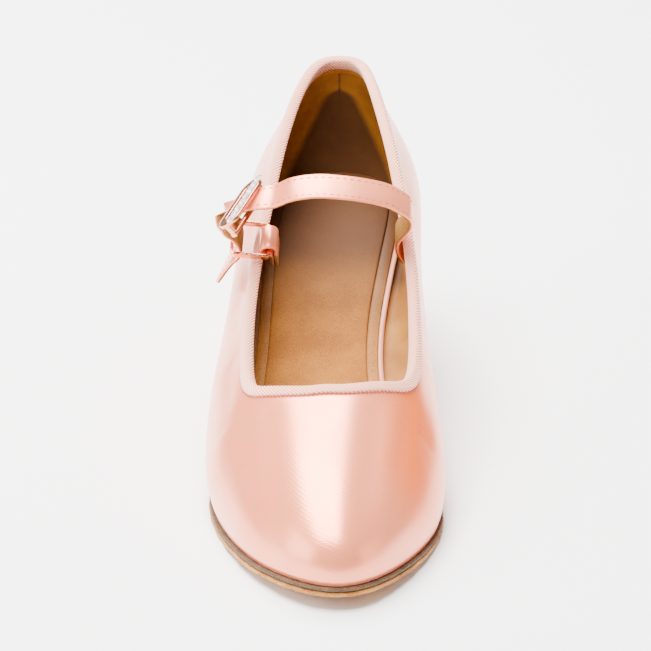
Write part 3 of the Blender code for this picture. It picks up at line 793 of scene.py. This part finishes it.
def makeInsole():
    gap, steps = insoleMake["gap"], insoleMake["edgeSteps"]
    low = -(upperMake["wall"] + gap)
    high = low - insoleMake["thickness"]
    inset, radius = insoleMake["inset"], insoleMake["edgeRadius"]
    levels = []
    for k in range(steps + 1):
        angle = math.radians(90 * (1 - k / steps))
        levels.append((inset + radius * (1 - math.cos(angle)),
                       high + radius * (1 - math.sin(angle))))
    levels += [(inset, low - 0.0006), (inset + 0.0006, low)]
    finishPiece(layerPiece("insoleWrap", levels, edgeSatin), "insole_satin", "insole")
    sockLow = high - gap
    sockHigh = sockLow - sockMake["thickness"]
    edge = sockMake["inset"]
    levels = [(edge + 0.0004, sockHigh), (edge + 0.0001, sockHigh + 0.0002), (edge, sockLow)]
    finishPiece(layerPiece("sockLiner", levels, sock), "sock_border", "sock_liner")
    padLow = sockHigh - gap
    padHigh = padLow - sockMake["padThickness"]
    edge = sockMake["padInset"]
    levels = [(edge + 0.0009, padHigh), (edge + 0.0004, padHigh + 0.00015),
              (edge + 0.0001, padHigh + 0.0004), (edge, sockHigh)]
    finishPiece(layerPiece("sockPad", levels, pad), "sock_suede", "sock_pad")


def makeSole():
    out = -soleMake["margin"]
    top = soleMake["gap"]
    bottom = top + soleMake["midsole"]
    levels = [(out + 0.0004, top), (out, top + 0.0003), (out, bottom - 0.0003),
              (out + 0.0004, bottom)]
    midsole = layerPiece("midsoleLayer", levels, soleEdge, 4, soleMake["start"],
                         soleMake["midsoleFuzz"])
    finishPiece(midsole, "sole_edge", "midsole")
    top = bottom + soleMake["gap"]
    bottom = top + soleMake["outsole"]
    levels = [(out + 0.0002, top), (out - 0.0002, top + 0.0004), (out - 0.0001, bottom - 0.0004),
              (out + 0.0005, bottom)]
    outsole = layerPiece("outsoleSuede", levels, soleSuede, 10, soleMake["start"],
                         soleMake["outsoleFuzz"])
    finishPiece(outsole, "sole_suede", "outsole")


makeInsole()
makeSole()
print("insole and sole made")

# Heel: satin wrapped over a waisted block, and its flat tip
heelMake = {"breast": 0.0570, "tipLength": 0.0250, "tipWidth": 0.0240, "tipBack": 0.0110,
            "tipThickness": 0.0060, "tipSpread": 1.6, "tipRound": 0.6, "inset": 0.0003,
            "gap": 0.0003, "waist": 1.7, "levels": 26}


def makeHeel():
    ring = insetRing(heelMake["inset"])
    count = len(ring)
    left, right = [], []
    for i in range(count // 2 + 1):
        a, b = ring[i], ring[(count - i) % count]
        if max(a[1], b[1]) >= heelMake["breast"] - 0.0006:
            break
        left.append(a)
        right.append(b)
    i = len(left)
    for side, after in ((left, ring[i]), (right, ring[(count - i) % count])):
        share = (heelMake["breast"] - side[-1][1]) / (after[1] - side[-1][1])
        side.append(side[-1] + (after - side[-1]) * share)
    n = len(left)
    share = np.arange(n) / (n - 1)
    s = heelMake["tipBack"] + heelMake["tipLength"] * share**heelMake["tipSpread"]
    rounding = heelMake["tipRound"] * heelMake["tipLength"]
    reach = np.minimum(1.0, (s - heelMake["tipBack"]) / rounding)
    x = heelMake["tipWidth"] / 2 * np.sqrt(np.maximum(0.0, 1 - (1 - reach)**2))
    foot = toModel(np.vstack([np.column_stack([-x, s, 0 * s]),
                              np.column_stack([x, s, 0 * s])[:0:-1]]))
    topLoop = underSeat(np.vstack([np.array(left), np.array(right)[:0:-1]]), heelMake["gap"])
    thick = heelMake["tipThickness"]
    floor = thick + heelMake["gap"]
    rows = []
    for t in np.linspace(1.0, 0.0, heelMake["levels"]):
        grow = t**heelMake["waist"]
        row = foot + (topLoop - foot) * grow
        row[:, 2] = floor + (topLoop[:, 2] - floor) * t
        rows.append(row)
    block = gridPiece("heelBlock", np.array(rows), trimSatin, caps=True, sharpAngle=50)
    finishPiece(block, "satin", "heel")
    tipRows = []
    for z, scale in ((thick, 0.985), (thick - 0.0004, 1.0), (0.0004, 1.0), (0.0, 0.98)):
        row = foot * np.array([scale, scale, 1.0])
        row[:, 2] = z
        tipRows.append(row)
    finishPiece(gridPiece("heelTip", np.array(tipRows), tipRubber, caps=True, sharpAngle=50),
                "heel_tip", "heel_tip")


makeHeel()
print("heel made")

# Instep strap, with its buckle, ring and tab: the CAD part's own route
strapMake = {"width": 0.0100, "thickness": 0.0014, "lean": 32.0, "along": 0.373, "rise": 0.0284,
             "spacing": 0.0010, "satinShare": 0.62, "edge": 0.0004, "liningEdge": 0.0003,
             "liningInset": 0.0003, "liningGap": 0.00002, "tipShare": 0.3}

# across, rise, shift, turn
strapRoute = [
    (0.433, -0.30, -0.37, 0), (0.399, -0.11, -0.35, 0), (0.392, 0.00, -0.32, 0),
    (0.403, 0.12, -0.32, 0), (0.438, 0.25, -0.32, 0), (0.467, 0.38, -0.32, 0),
    (0.476, 0.48, -0.32, 0), (0.463, 0.58, -0.32, 0), (0.421, 0.68, -0.32, 0),
    (0.337, 0.82, -0.32, 0), (0.205, 0.92, -0.32, 0), (0.057, 0.98, -0.32, 0),
    (-0.093, 1.00, -0.32, 0), (-0.237, 0.93, -0.32, 0), (-0.342, 0.79, -0.31, 4),
    (-0.442, 0.725, -0.28, 18), (-0.503, 0.60, -0.16, 28), (-0.553, 0.455, -0.03, 30),
    (-0.605, 0.36, 0.02, 26), (-0.636, 0.335, -0.10, 18), (-0.631, 0.31, -0.32, 10),
    (-0.606, 0.29, -0.58, 4), (-0.575, 0.255, -0.75, 0), (-0.557, 0.175, -0.79, 0),
    (-0.555, 0.07, -0.80, 2), (-0.568, -0.04, -0.81, 7), (-0.597, -0.13, -0.85, 12),
    (-0.637, -0.29, -0.92, 18), (-0.677, -0.45, -1.00, 20), (-0.704, -0.57, -1.05, 20),
]
buckleRow = 16


def rimAt(s):
    ring = rimRing()
    count = len(ring)
    outer = ring[:5 * last["spanSteps"]]
    inner = ring[[(count - i) % count for i in range(5 * last["spanSteps"])]]
    height = (np.interp(s, outer[:, 1], outer[:, 2]) + np.interp(s, inner[:, 1], inner[:, 2])) / 2
    return np.interp(s, outer[:, 1], outer[:, 0]), float(seatHeight(s)) + height


def strapAxes():
    s = strapMake["along"] * last["length"]
    lean = math.radians(strapMake["lean"])
    origin = toModel([0.0, s, rimAt(s)[1]])
    return (origin, np.array([0.0, -math.sin(lean), math.cos(lean)]),
            np.array([0.0, math.cos(lean), math.sin(lean)]))


def strapPlace(across, rise, shift):
    origin, rising, back = strapAxes()
    return (origin + np.array([across * last["collarWidth"], 0.0, 0.0])
            + rising * (rise * strapMake["rise"]) + back * (shift * strapMake["width"]))


def strapStations():
    places = np.array([strapPlace(*row[:3]) for row in strapRoute])
    back = strapAxes()[2]
    turns = np.radians([row[3] for row in strapRoute])
    widths = -back * np.cos(turns)[:, None] - np.array([1.0, 0.0, 0.0]) * np.sin(turns)[:, None]
    end = len(places) - 1
    points, aheads, across, at = [], [], [], 0
    for i in range(end):
        before, after = places[max(i - 1, 0)], places[min(i + 2, end)]
        here, there = places[i], places[i + 1]
        chord = np.linalg.norm(there - here)
        start = (there - before) * chord / (chord + np.linalg.norm(here - before))
        finishSlope = (after - here) * chord / (np.linalg.norm(after - there) + chord)
        if i == buckleRow:
            at = len(points)
        steps = max(1, round(chord / strapMake["spacing"]))
        for k in range(steps + (i == end - 1)):
            t = k / steps
            points.append(hermite(t, here, start, there, finishSlope))
            aheads.append((6 * t**2 - 6 * t) * here + (3 * t**2 - 4 * t + 1) * start
                          + (6 * t - 6 * t**2) * there + (3 * t**2 - 2 * t) * finishSlope)
            across.append(widths[i] * (1 - t) + widths[i + 1] * t)
    points, aheads = np.array(points), unit(np.array(aheads))
    faces = unit(np.cross(aheads, np.array(across)))
    return points, aheads, np.cross(faces, aheads), faces, at


def bandRing(point, width, face, half, low, high, edge):
    # closed section of a band between two heights, with rounded edges
    middle, tall = (low + high) / 2, (high - low) / 2
    section = []
    for side in (1, -1):
        for k in range(5):
            lean = math.radians(90 - 45 * k)
            section.append((side * (half - edge + edge * math.cos(lean)) if k != 2 else side * half,
                            side * tall * math.sin(lean) + middle))
    return np.array([point + width * a + face * b for a, b in section])


def strapHalf(points, i, inset=0.0):
    radius = strapMake["width"] / 2
    fromEnd = np.linalg.norm(points[-1] - points[i])
    half = radius
    if fromEnd < radius:
        half = math.sqrt(max(radius**2 - (radius - fromEnd)**2,
                             (strapMake["tipShare"] * radius)**2))
    return half - inset


def makeStrap():
    points, aheads, widths, faces, at = strapStations()
    make = strapMake
    half = make["thickness"] / 2
    split = half - make["thickness"] * make["satinShare"]
    top = [bandRing(p, w, f, strapHalf(points, i), split, half, make["edge"])
           for i, (p, w, f) in enumerate(zip(points, widths, faces))]
    under = [bandRing(p, w, f, strapHalf(points, i, make["liningInset"]), -half,
                      split - make["liningGap"], make["liningEdge"])
             for i, (p, w, f) in enumerate(zip(points, widths, faces))]
    finishPiece(gridPiece("strapSatin", np.array(top), trimSatin, caps=True), "satin", "strap")
    finishPiece(gridPiece("strapLining", np.array(under), strapLining, caps=True), "sock_border")
    return points, aheads, widths, faces, at


strapRun = makeStrap()
print("strap made")


# Stitches and crystals are laid along paths by Geometry Nodes
def nodeInput(tree, label, kind, value):
    socket = tree.interface.new_socket(name=label, in_out="INPUT", socket_type=kind)
    if value is not None:
        socket.default_value = value


def buildPathTree(name, gem):
    # a small shape at each step of a path: a thread stitch, or a cut stone that faces Up
    tree = bpy.data.node_groups.new(name, "GeometryNodeTree")
    tree.is_modifier = True
    tree.interface.new_socket(name="Geometry", in_out="INPUT", socket_type="NodeSocketGeometry")
    nodeInput(tree, "Pitch", "NodeSocketFloat", 0.0024)
    nodeInput(tree, "Size", "NodeSocketVector", (0.0002, 0.0002, 0.0007))
    nodeInput(tree, "Up", "NodeSocketVector", (0.0, 0.0, 1.0))
    nodeInput(tree, "Material", "NodeSocketMaterial", None)
    tree.interface.new_socket(name="Geometry", in_out="OUTPUT", socket_type="NodeSocketGeometry")
    nodes, link = tree.nodes, tree.links.new
    given, out = nodes.new("NodeGroupInput"), nodes.new("NodeGroupOutput")
    curve = nodes.new("GeometryNodeMeshToCurve")
    dots = nodes.new("GeometryNodeCurveToPoints")
    dots.mode = "LENGTH"
    aim = nodes.new("FunctionNodeAlignRotationToVector")
    aim.axis = "Z"
    turn = nodes.new("FunctionNodeAlignRotationToVector")
    turn.axis = "X"
    turn.pivot_axis = "Z"
    square = nodes.new("GeometryNodeTransform")
    square.inputs["Rotation"].default_value = (0.0, 0.0, math.radians(45) if gem else 0.0)
    put = nodes.new("GeometryNodeInstanceOnPoints")
    real = nodes.new("GeometryNodeRealizeInstances")
    paint = nodes.new("GeometryNodeSetMaterial")
    if gem:
        shape = nodes.new("GeometryNodeMeshCone")
        shape.inputs["Vertices"].default_value = 4
        shape.inputs["Radius Top"].default_value = 0.6
        shape.inputs["Radius Bottom"].default_value = 1.0
        shape.inputs["Depth"].default_value = 1.0
    else:
        shape = nodes.new("GeometryNodeMeshUVSphere")
        shape.inputs["Segments"].default_value = 8
        shape.inputs["Rings"].default_value = 6
        shape.inputs["Radius"].default_value = 1.0
    link(given.outputs["Geometry"], curve.inputs["Mesh"])
    link(curve.outputs["Curve"], dots.inputs["Curve"])
    link(given.outputs["Pitch"], dots.inputs["Length"])
    link(given.outputs["Up"] if gem else dots.outputs["Tangent"], aim.inputs["Vector"])
    link(dots.outputs["Points"], put.inputs["Points"])
    link(shape.outputs["Mesh"], square.inputs["Geometry"])
    link(square.outputs["Geometry"], put.inputs["Instance"])
    if gem:
        link(aim.outputs["Rotation"], turn.inputs["Rotation"])
        link(dots.outputs["Tangent"], turn.inputs["Vector"])
        link(turn.outputs["Rotation"], put.inputs["Rotation"])
    else:
        link(aim.outputs["Rotation"], put.inputs["Rotation"])
    link(given.outputs["Size"], put.inputs["Scale"])
    link(put.outputs["Instances"], real.inputs["Geometry"])
    link(real.outputs["Geometry"], paint.inputs["Geometry"])
    link(given.outputs["Material"], paint.inputs["Material"])
    link(paint.outputs["Geometry"], out.inputs["Geometry"])
    return tree


stitchTree = buildPathTree("threadAlongPath", False)
gemTree = buildPathTree("stonesAlongPath", True)


def alongPath(name, paths, tree, material, pitch, size, up=None, closed=False, smooth=True):
    verts, edges = [], []
    for path in paths:
        start = len(verts)
        verts += [tuple(float(c) for c in p) for p in path]
        edges += [(start + i, start + i + 1) for i in range(len(path) - 1)]
        if closed:
            edges.append((len(verts) - 1, start))
    mesh = bpy.data.meshes.new(name + "Path")
    mesh.from_pydata(verts, edges, [])
    guide = bpy.data.objects.new(name + "Path", mesh)
    bpy.context.scene.collection.objects.link(guide)
    modifier = guide.modifiers.new("alongPath", "NODES")
    modifier.node_group = tree
    values = {"Pitch": pitch, "Size": size, "Material": material}
    if up is not None:
        values["Up"] = tuple(float(c) for c in up)
    for item in tree.interface.items_tree:
        if item.item_type == "SOCKET" and item.in_out == "INPUT" and item.name in values:
            modifier[item.identifier] = values[item.name]
    bpy.context.view_layer.update()
    evaluated = guide.evaluated_get(bpy.context.evaluated_depsgraph_get())
    done = bpy.data.meshes.new_from_object(evaluated)
    done.name = name
    guide.modifiers.remove(modifier)
    bpy.data.objects.remove(guide)
    if smooth:
        done.shade_smooth()
    else:
        done.shade_flat()
    piece = bpy.data.objects.new(name, done)
    bpy.context.scene.collection.objects.link(piece)
    return piece


stitchMake = {"strapPitch": 0.0024, "strapEdge": 0.0015, "strapHalf": 0.00065,
              "throatPitch": 0.0015, "throatHalf": 0.00045, "throatDrop": 0.0004,
              "throatOut": 0.0002, "radius": 0.00017, "lift": 0.00002}


def makeStitches():
    points, _, widths, faces, _ = strapRun
    make = stitchMake
    lift = strapMake["thickness"] / 2 + make["lift"]
    off = strapMake["width"] / 2 - make["strapEdge"]
    rows = [[points[i] + widths[i] * side * off + faces[i] * lift
             for i in range(4, len(points) - 6)] for side in (-1, 1)]
    piece = alongPath("strapStitches", rows, stitchTree, thread, make["strapPitch"],
                      (make["radius"], make["radius"], make["strapHalf"]))
    finishPiece(piece, "satin")
    rim, up, inward = rimFrame()
    below = rim - up * (bindingMake["depth"] + make["throatDrop"]) - inward * make["throatOut"]
    piece = alongPath("bindingStitches", [below], stitchTree, thread, make["throatPitch"],
                      (make["radius"], make["radius"], make["throatHalf"]), closed=True)
    finishPiece(piece, "satin")


makeStitches()
print("stitches made")

# Buckle, ring and tab
buckleMake = {"length": 0.0230, "width": 0.0104, "bar": 0.0032, "thickness": 0.0014,
              "endGap": 0.0004, "play": 0.0008, "middleShare": 0.8, "postShare": 0.7,
              "stonePitch": 0.0028, "stone": 0.0019, "stoneHeight": 0.0009, "stoneLift": 0.0002}
ringMake = {"play": 0.0022, "width": 0.0138, "bar": 0.0012, "thickness": 0.0020, "across": -0.496,
            "rise": 0.140, "shift": -0.79, "tilt": 8.0}
tabMake = {"width": 0.0095, "thickness": 0.0012, "radius": 0.0026, "leg": 0.0078, "seat": 0.0006,
           "neckShare": 1.6, "legGap": 0.0003, "edge": 0.0004, "liningBelow": 0.0040}
metalEdge = 0.0003

tabLoop = [
    (0.27, -1.00), (-0.12, -0.77), (-0.65, -0.57), (-0.96, -0.05), (-0.83, 0.58), (-0.45, 0.90),
    (0.00, 1.00), (0.45, 0.90), (0.83, 0.57), (1.00, 0.00), (0.95, -0.75),
]


def frameOutline(length, width, bar):
    corner, cornerSteps = bar, 10
    halfA, halfB = length / 2 - bar / 2 - corner, width / 2 - bar / 2 - corner
    points = []
    for quarter, (a, b) in enumerate(((1, 1), (-1, 1), (-1, -1), (1, -1))):
        for k in range(cornerSteps + 1):
            angle = math.radians(90) * (quarter + k / cornerSteps)
            outA, outB = math.cos(angle), math.sin(angle)
            points.append((a * halfA + corner * outA, b * halfB + corner * outB, outA, outB))
    return points


def barSection(bar, thickness):
    # rounded rectangle, (out, up)
    a, b, soft = bar / 2, thickness / 2, metalEdge
    section = []
    for sx, sy, start in ((1, 1, 0), (-1, 1, 90), (-1, -1, 180), (1, -1, 270)):
        for k in range(4):
            angle = math.radians(start + 30 * k)
            section.append((sx * (a - soft) + soft * math.cos(angle),
                            sy * (b - soft) + soft * math.sin(angle)))
    return section


def framePiece(name, centre, longAxis, shortAxis, normal, sizes):
    length, width, bar, thickness = sizes
    rings = []
    for a, b, outA, outB in frameOutline(length, width, bar):
        middle = centre + longAxis * a + shortAxis * b
        out = longAxis * outA + shortAxis * outB
        rings.append([middle + out * p + normal * q for p, q in barSection(bar, thickness)])
    return gridPiece(name, np.array(rings), roseGold, wrapRows=True, sharpAngle=60)


def barPiece(name, start, end, side, normal, width, height):
    rings = [[point + side * p + normal * q for p, q in barSection(width, height)]
             for point in (start, start * 0.5 + end * 0.5, end)]
    return gridPiece(name, np.array(rings), roseGold, caps=True, sharpAngle=60)


def joinPieces(pieces):
    with bpy.context.temp_override(active_object=pieces[0], selected_editable_objects=pieces,
                                   selected_objects=pieces):
        bpy.ops.object.join()
    return pieces[0]


def makeBuckle():
    points, aheads, widths, faces, at = strapRun
    point, ahead, width, face = points[at], aheads[at], widths[at], faces[at]
    make = buckleMake
    offset = make["length"] / 2 - make["bar"] - make["endGap"] - strapMake["width"] / 2
    over = strapMake["thickness"] / 2 + make["play"] + make["thickness"] / 2
    centre = point + width * offset + face * over
    sizes = (make["length"], make["width"], make["bar"], make["thickness"])
    parts = [framePiece("buckleFrame", centre, width, ahead, face, sizes)]
    # a middle bar under the strap, on a post at each end of the frame
    end = make["length"] / 2 - make["bar"] / 2
    low = centre - face * (2 * over)
    wide = make["bar"] * make["middleShare"]
    side = width * (end + wide / 2)
    parts.append(barPiece("buckleBar", low - side, low + side, ahead, face, wide,
                          make["thickness"]))
    deep = face * (make["thickness"] * 0.3)
    wide = make["bar"] * make["postShare"]
    for sign in (-1, 1):
        side = width * (sign * end)
        parts.append(barPiece("bucklePost", low + side - deep, centre + side + deep, ahead, width,
                              wide, wide))
    finishPiece(joinPieces(parts), "rose_gold", "buckle_frame")
    # the stones sit on the side of the frame towards the instep
    lift = (face * (make["thickness"] / 2 + make["stoneLift"])
            - ahead * (make["width"] / 2 - make["bar"] / 2))
    path = [centre + lift - width * end, centre + lift + width * end]
    stones = alongPath("buckleStones", [path], gemTree, crystal, make["stonePitch"],
                       (make["stone"], make["stone"], make["stoneHeight"]), face, smooth=False)
    finishPiece(stones, "rose_gold")


def ringAxes():
    _, rising, back = strapAxes()
    centre = strapPlace(ringMake["across"], ringMake["rise"], ringMake["shift"])
    tilt = math.radians(ringMake["tilt"])
    outwards = np.array([-1.0, 0.0, 0.0]) * math.cos(tilt) + rising * math.sin(tilt)
    return centre, outwards, back, unit(np.cross(back, outwards))


def makeRing():
    centre, outwards, back, normal = ringAxes()
    length = strapMake["width"] + 2 * ringMake["bar"] + ringMake["play"]
    piece = framePiece("ring", centre, back, outwards, normal,
                       (length, ringMake["width"], ringMake["bar"], ringMake["thickness"]))
    finishPiece(piece, "rose_gold", "ring")


def smoothPath(points, steps):
    # Catmull-Rom curve through the points
    points = np.array(points)
    end = len(points) - 1
    result = []
    for i in range(end):
        p0, p1, p2, p3 = points[max(i - 1, 0)], points[i], points[i + 1], points[min(i + 2, end)]
        for k in range(steps):
            t = k / steps
            result.append(0.5 * (2 * p1 + (p2 - p0) * t + (2 * p0 - 5 * p1 + 4 * p2 - p3) * t**2
                                 + (3 * p1 - p0 - 3 * p2 + p3) * t**3))
    result.append(points[-1])
    return np.array(result)


def makeTab():
    centre, outwards, back, _ = ringAxes()
    rising = strapAxes()[1]
    across = np.array([1.0, 0.0, 0.0])
    bar = centre - outwards * (ringMake["width"] / 2 - ringMake["bar"] / 2)
    inside = (rimAt(strapMake["along"] * last["length"])[0] + upperMake["wall"]
              + bindingMake["thickness"] + 2 * bindingMake["clearance"])
    thick, radius = tabMake["thickness"], tabMake["radius"]
    outerLeg = across * (inside + tabMake["seat"] + thick / 2 - bar[0])
    innerLeg = outerLeg + across * (thick + tabMake["legGap"])
    neck, foot = rising * (tabMake["neckShare"] * radius), rising * tabMake["leg"]
    path = [bar + outerLeg - foot, bar + outerLeg - neck]
    path += [bar + across * (a * radius) + rising * (b * radius) for a, b in tabLoop]
    path += [bar + innerLeg - neck, bar + innerLeg - foot]
    path = smoothPath(path, 5)
    tabSatin = satinMaterial("tabSatin", False, float(bar[2]) - tabMake["liningBelow"])
    aheads = unit(np.gradient(path, axis=0))
    rings = []
    for point, ahead in zip(path, aheads):
        face = unit(np.cross(back, ahead))
        rings.append(bandRing(point, back, face, tabMake["width"] / 2, -thick / 2, thick / 2,
                              tabMake["edge"]))
    finishPiece(gridPiece("strapTab", np.array(rings), tabSatin, caps=True), "satin", "strap_tab")


makeBuckle()
makeRing()
makeTab()
print("buckle, ring and tab made")

# Floor, light and camera
cameraMake = {
    "target": (0.0, -0.1065, 0.035),
    "distance": 1.3,
    "tilt": 23.719,
    "turn": 0.457,
    "roll": -0.866,
    "sideways": 0.042725,
    "upwards": 0.015312,
    "sensor": 36.0,
    "focalPixels": 3872.3,
    "imagePixels": 651,
    "shoeCentre": (193.5, 330.0),
}


def makeCamera():
    make = cameraMake
    tilt, turn, roll = (math.radians(make[k]) for k in ("tilt", "turn", "roll"))
    level = Vector((math.sin(turn), math.cos(turn), 0.0))
    right = Vector((math.cos(turn), -math.sin(turn), 0.0))
    upright = Vector((0, 0, 1))
    ahead = level * math.cos(tilt) - upright * math.sin(tilt)
    up = level * math.sin(tilt) + upright * math.cos(tilt)
    place = (Vector(make["target"]) + right * make["sideways"] + up * make["upwards"]
             - ahead * make["distance"])
    rolledRight = right * math.cos(roll) - up * math.sin(roll)
    rolledUp = right * math.sin(roll) + up * math.cos(roll)
    middle = make["imagePixels"] / 2
    aim = (ahead + rolledRight * ((make["shoeCentre"][0] - middle) / make["focalPixels"])
           - rolledUp * ((make["shoeCentre"][1] - middle) / make["focalPixels"])).normalized()
    right = (rolledRight - aim * rolledRight.dot(aim)).normalized()
    up = right.cross(aim)
    data = bpy.data.cameras.new("camera")
    data.sensor_fit = "HORIZONTAL"
    data.sensor_width = make["sensor"]
    data.lens = make["sensor"] * make["focalPixels"] / make["imagePixels"]
    data.clip_start = 0.01
    data.clip_end = 20.0
    camera = bpy.data.objects.new("camera", data)
    turned = Matrix((right, up, -aim)).transposed().to_4x4()
    camera.matrix_world = Matrix.Translation(place) @ turned
    bpy.context.scene.collection.objects.link(camera)
    bpy.context.scene.camera = camera


def makeLight(name, place, aimAt, width, height, power, colour):
    data = bpy.data.lights.new(name, "AREA")
    data.shape = "RECTANGLE"
    data.size = width
    data.size_y = height
    data.energy = power
    data.color = colour
    lamp = bpy.data.objects.new(name, data)
    lamp.location = place
    if aimAt:
        direction = Vector(aimAt) - Vector(place)
        lamp.rotation_euler = direction.to_track_quat("-Z", "Y").to_euler()
    bpy.context.scene.collection.objects.link(lamp)


# the lamps: place, aim (none points straight down), width, height, watts, colour
studioMake = {
    "floorReach": 6.0,
    "floorDrop": 0.0003,
    "floorColour": (0.97, 0.97, 0.965),
    "skyColour": (1.0, 0.985, 0.97, 1.0),
    "skyStrength": 0.55,
    "lamps": {
        "topSoftbox": ((-0.24, 0.18, 1.1), None, 0.78, 1.5, 102.0, (1.0, 0.99, 0.98)),
        "leftSoftbox": ((-1.1, -0.5, 0.5), (0, -0.1, 0.04), 0.8, 0.8, 16.0, (1.0, 0.96, 0.95)),
        "rightSoftbox": ((1.1, -0.35, 0.35), (0, -0.1, 0.04), 0.5, 0.6, 2.5, (1.0, 0.76, 0.60)),
    },
}


def makeStudio():
    mesh = bpy.data.meshes.new("floor")
    size = studioMake["floorReach"]
    mesh.from_pydata([(-size, -size, 0), (size, -size, 0), (size, size, 0), (-size, size, 0)], [],
                     [(0, 1, 2, 3)])
    material, _, _ = startMaterial("floorPaper", studioMake["floorColour"], 0.8)
    mesh.materials.append(material)
    floor = bpy.data.objects.new("floor", mesh)
    floor.location = (0, 0, -studioMake["floorDrop"])
    bpy.context.scene.collection.objects.link(floor)
    world = bpy.data.worlds.new("studio")
    world.use_nodes = True
    sky = world.node_tree.nodes["Background"]
    sky.inputs["Color"].default_value = studioMake["skyColour"]
    sky.inputs["Strength"].default_value = studioMake["skyStrength"]
    bpy.context.scene.world = world
    for name, lamp in studioMake["lamps"].items():
        makeLight(name, *lamp)


makeStudio()
makeCamera()
print("studio made")
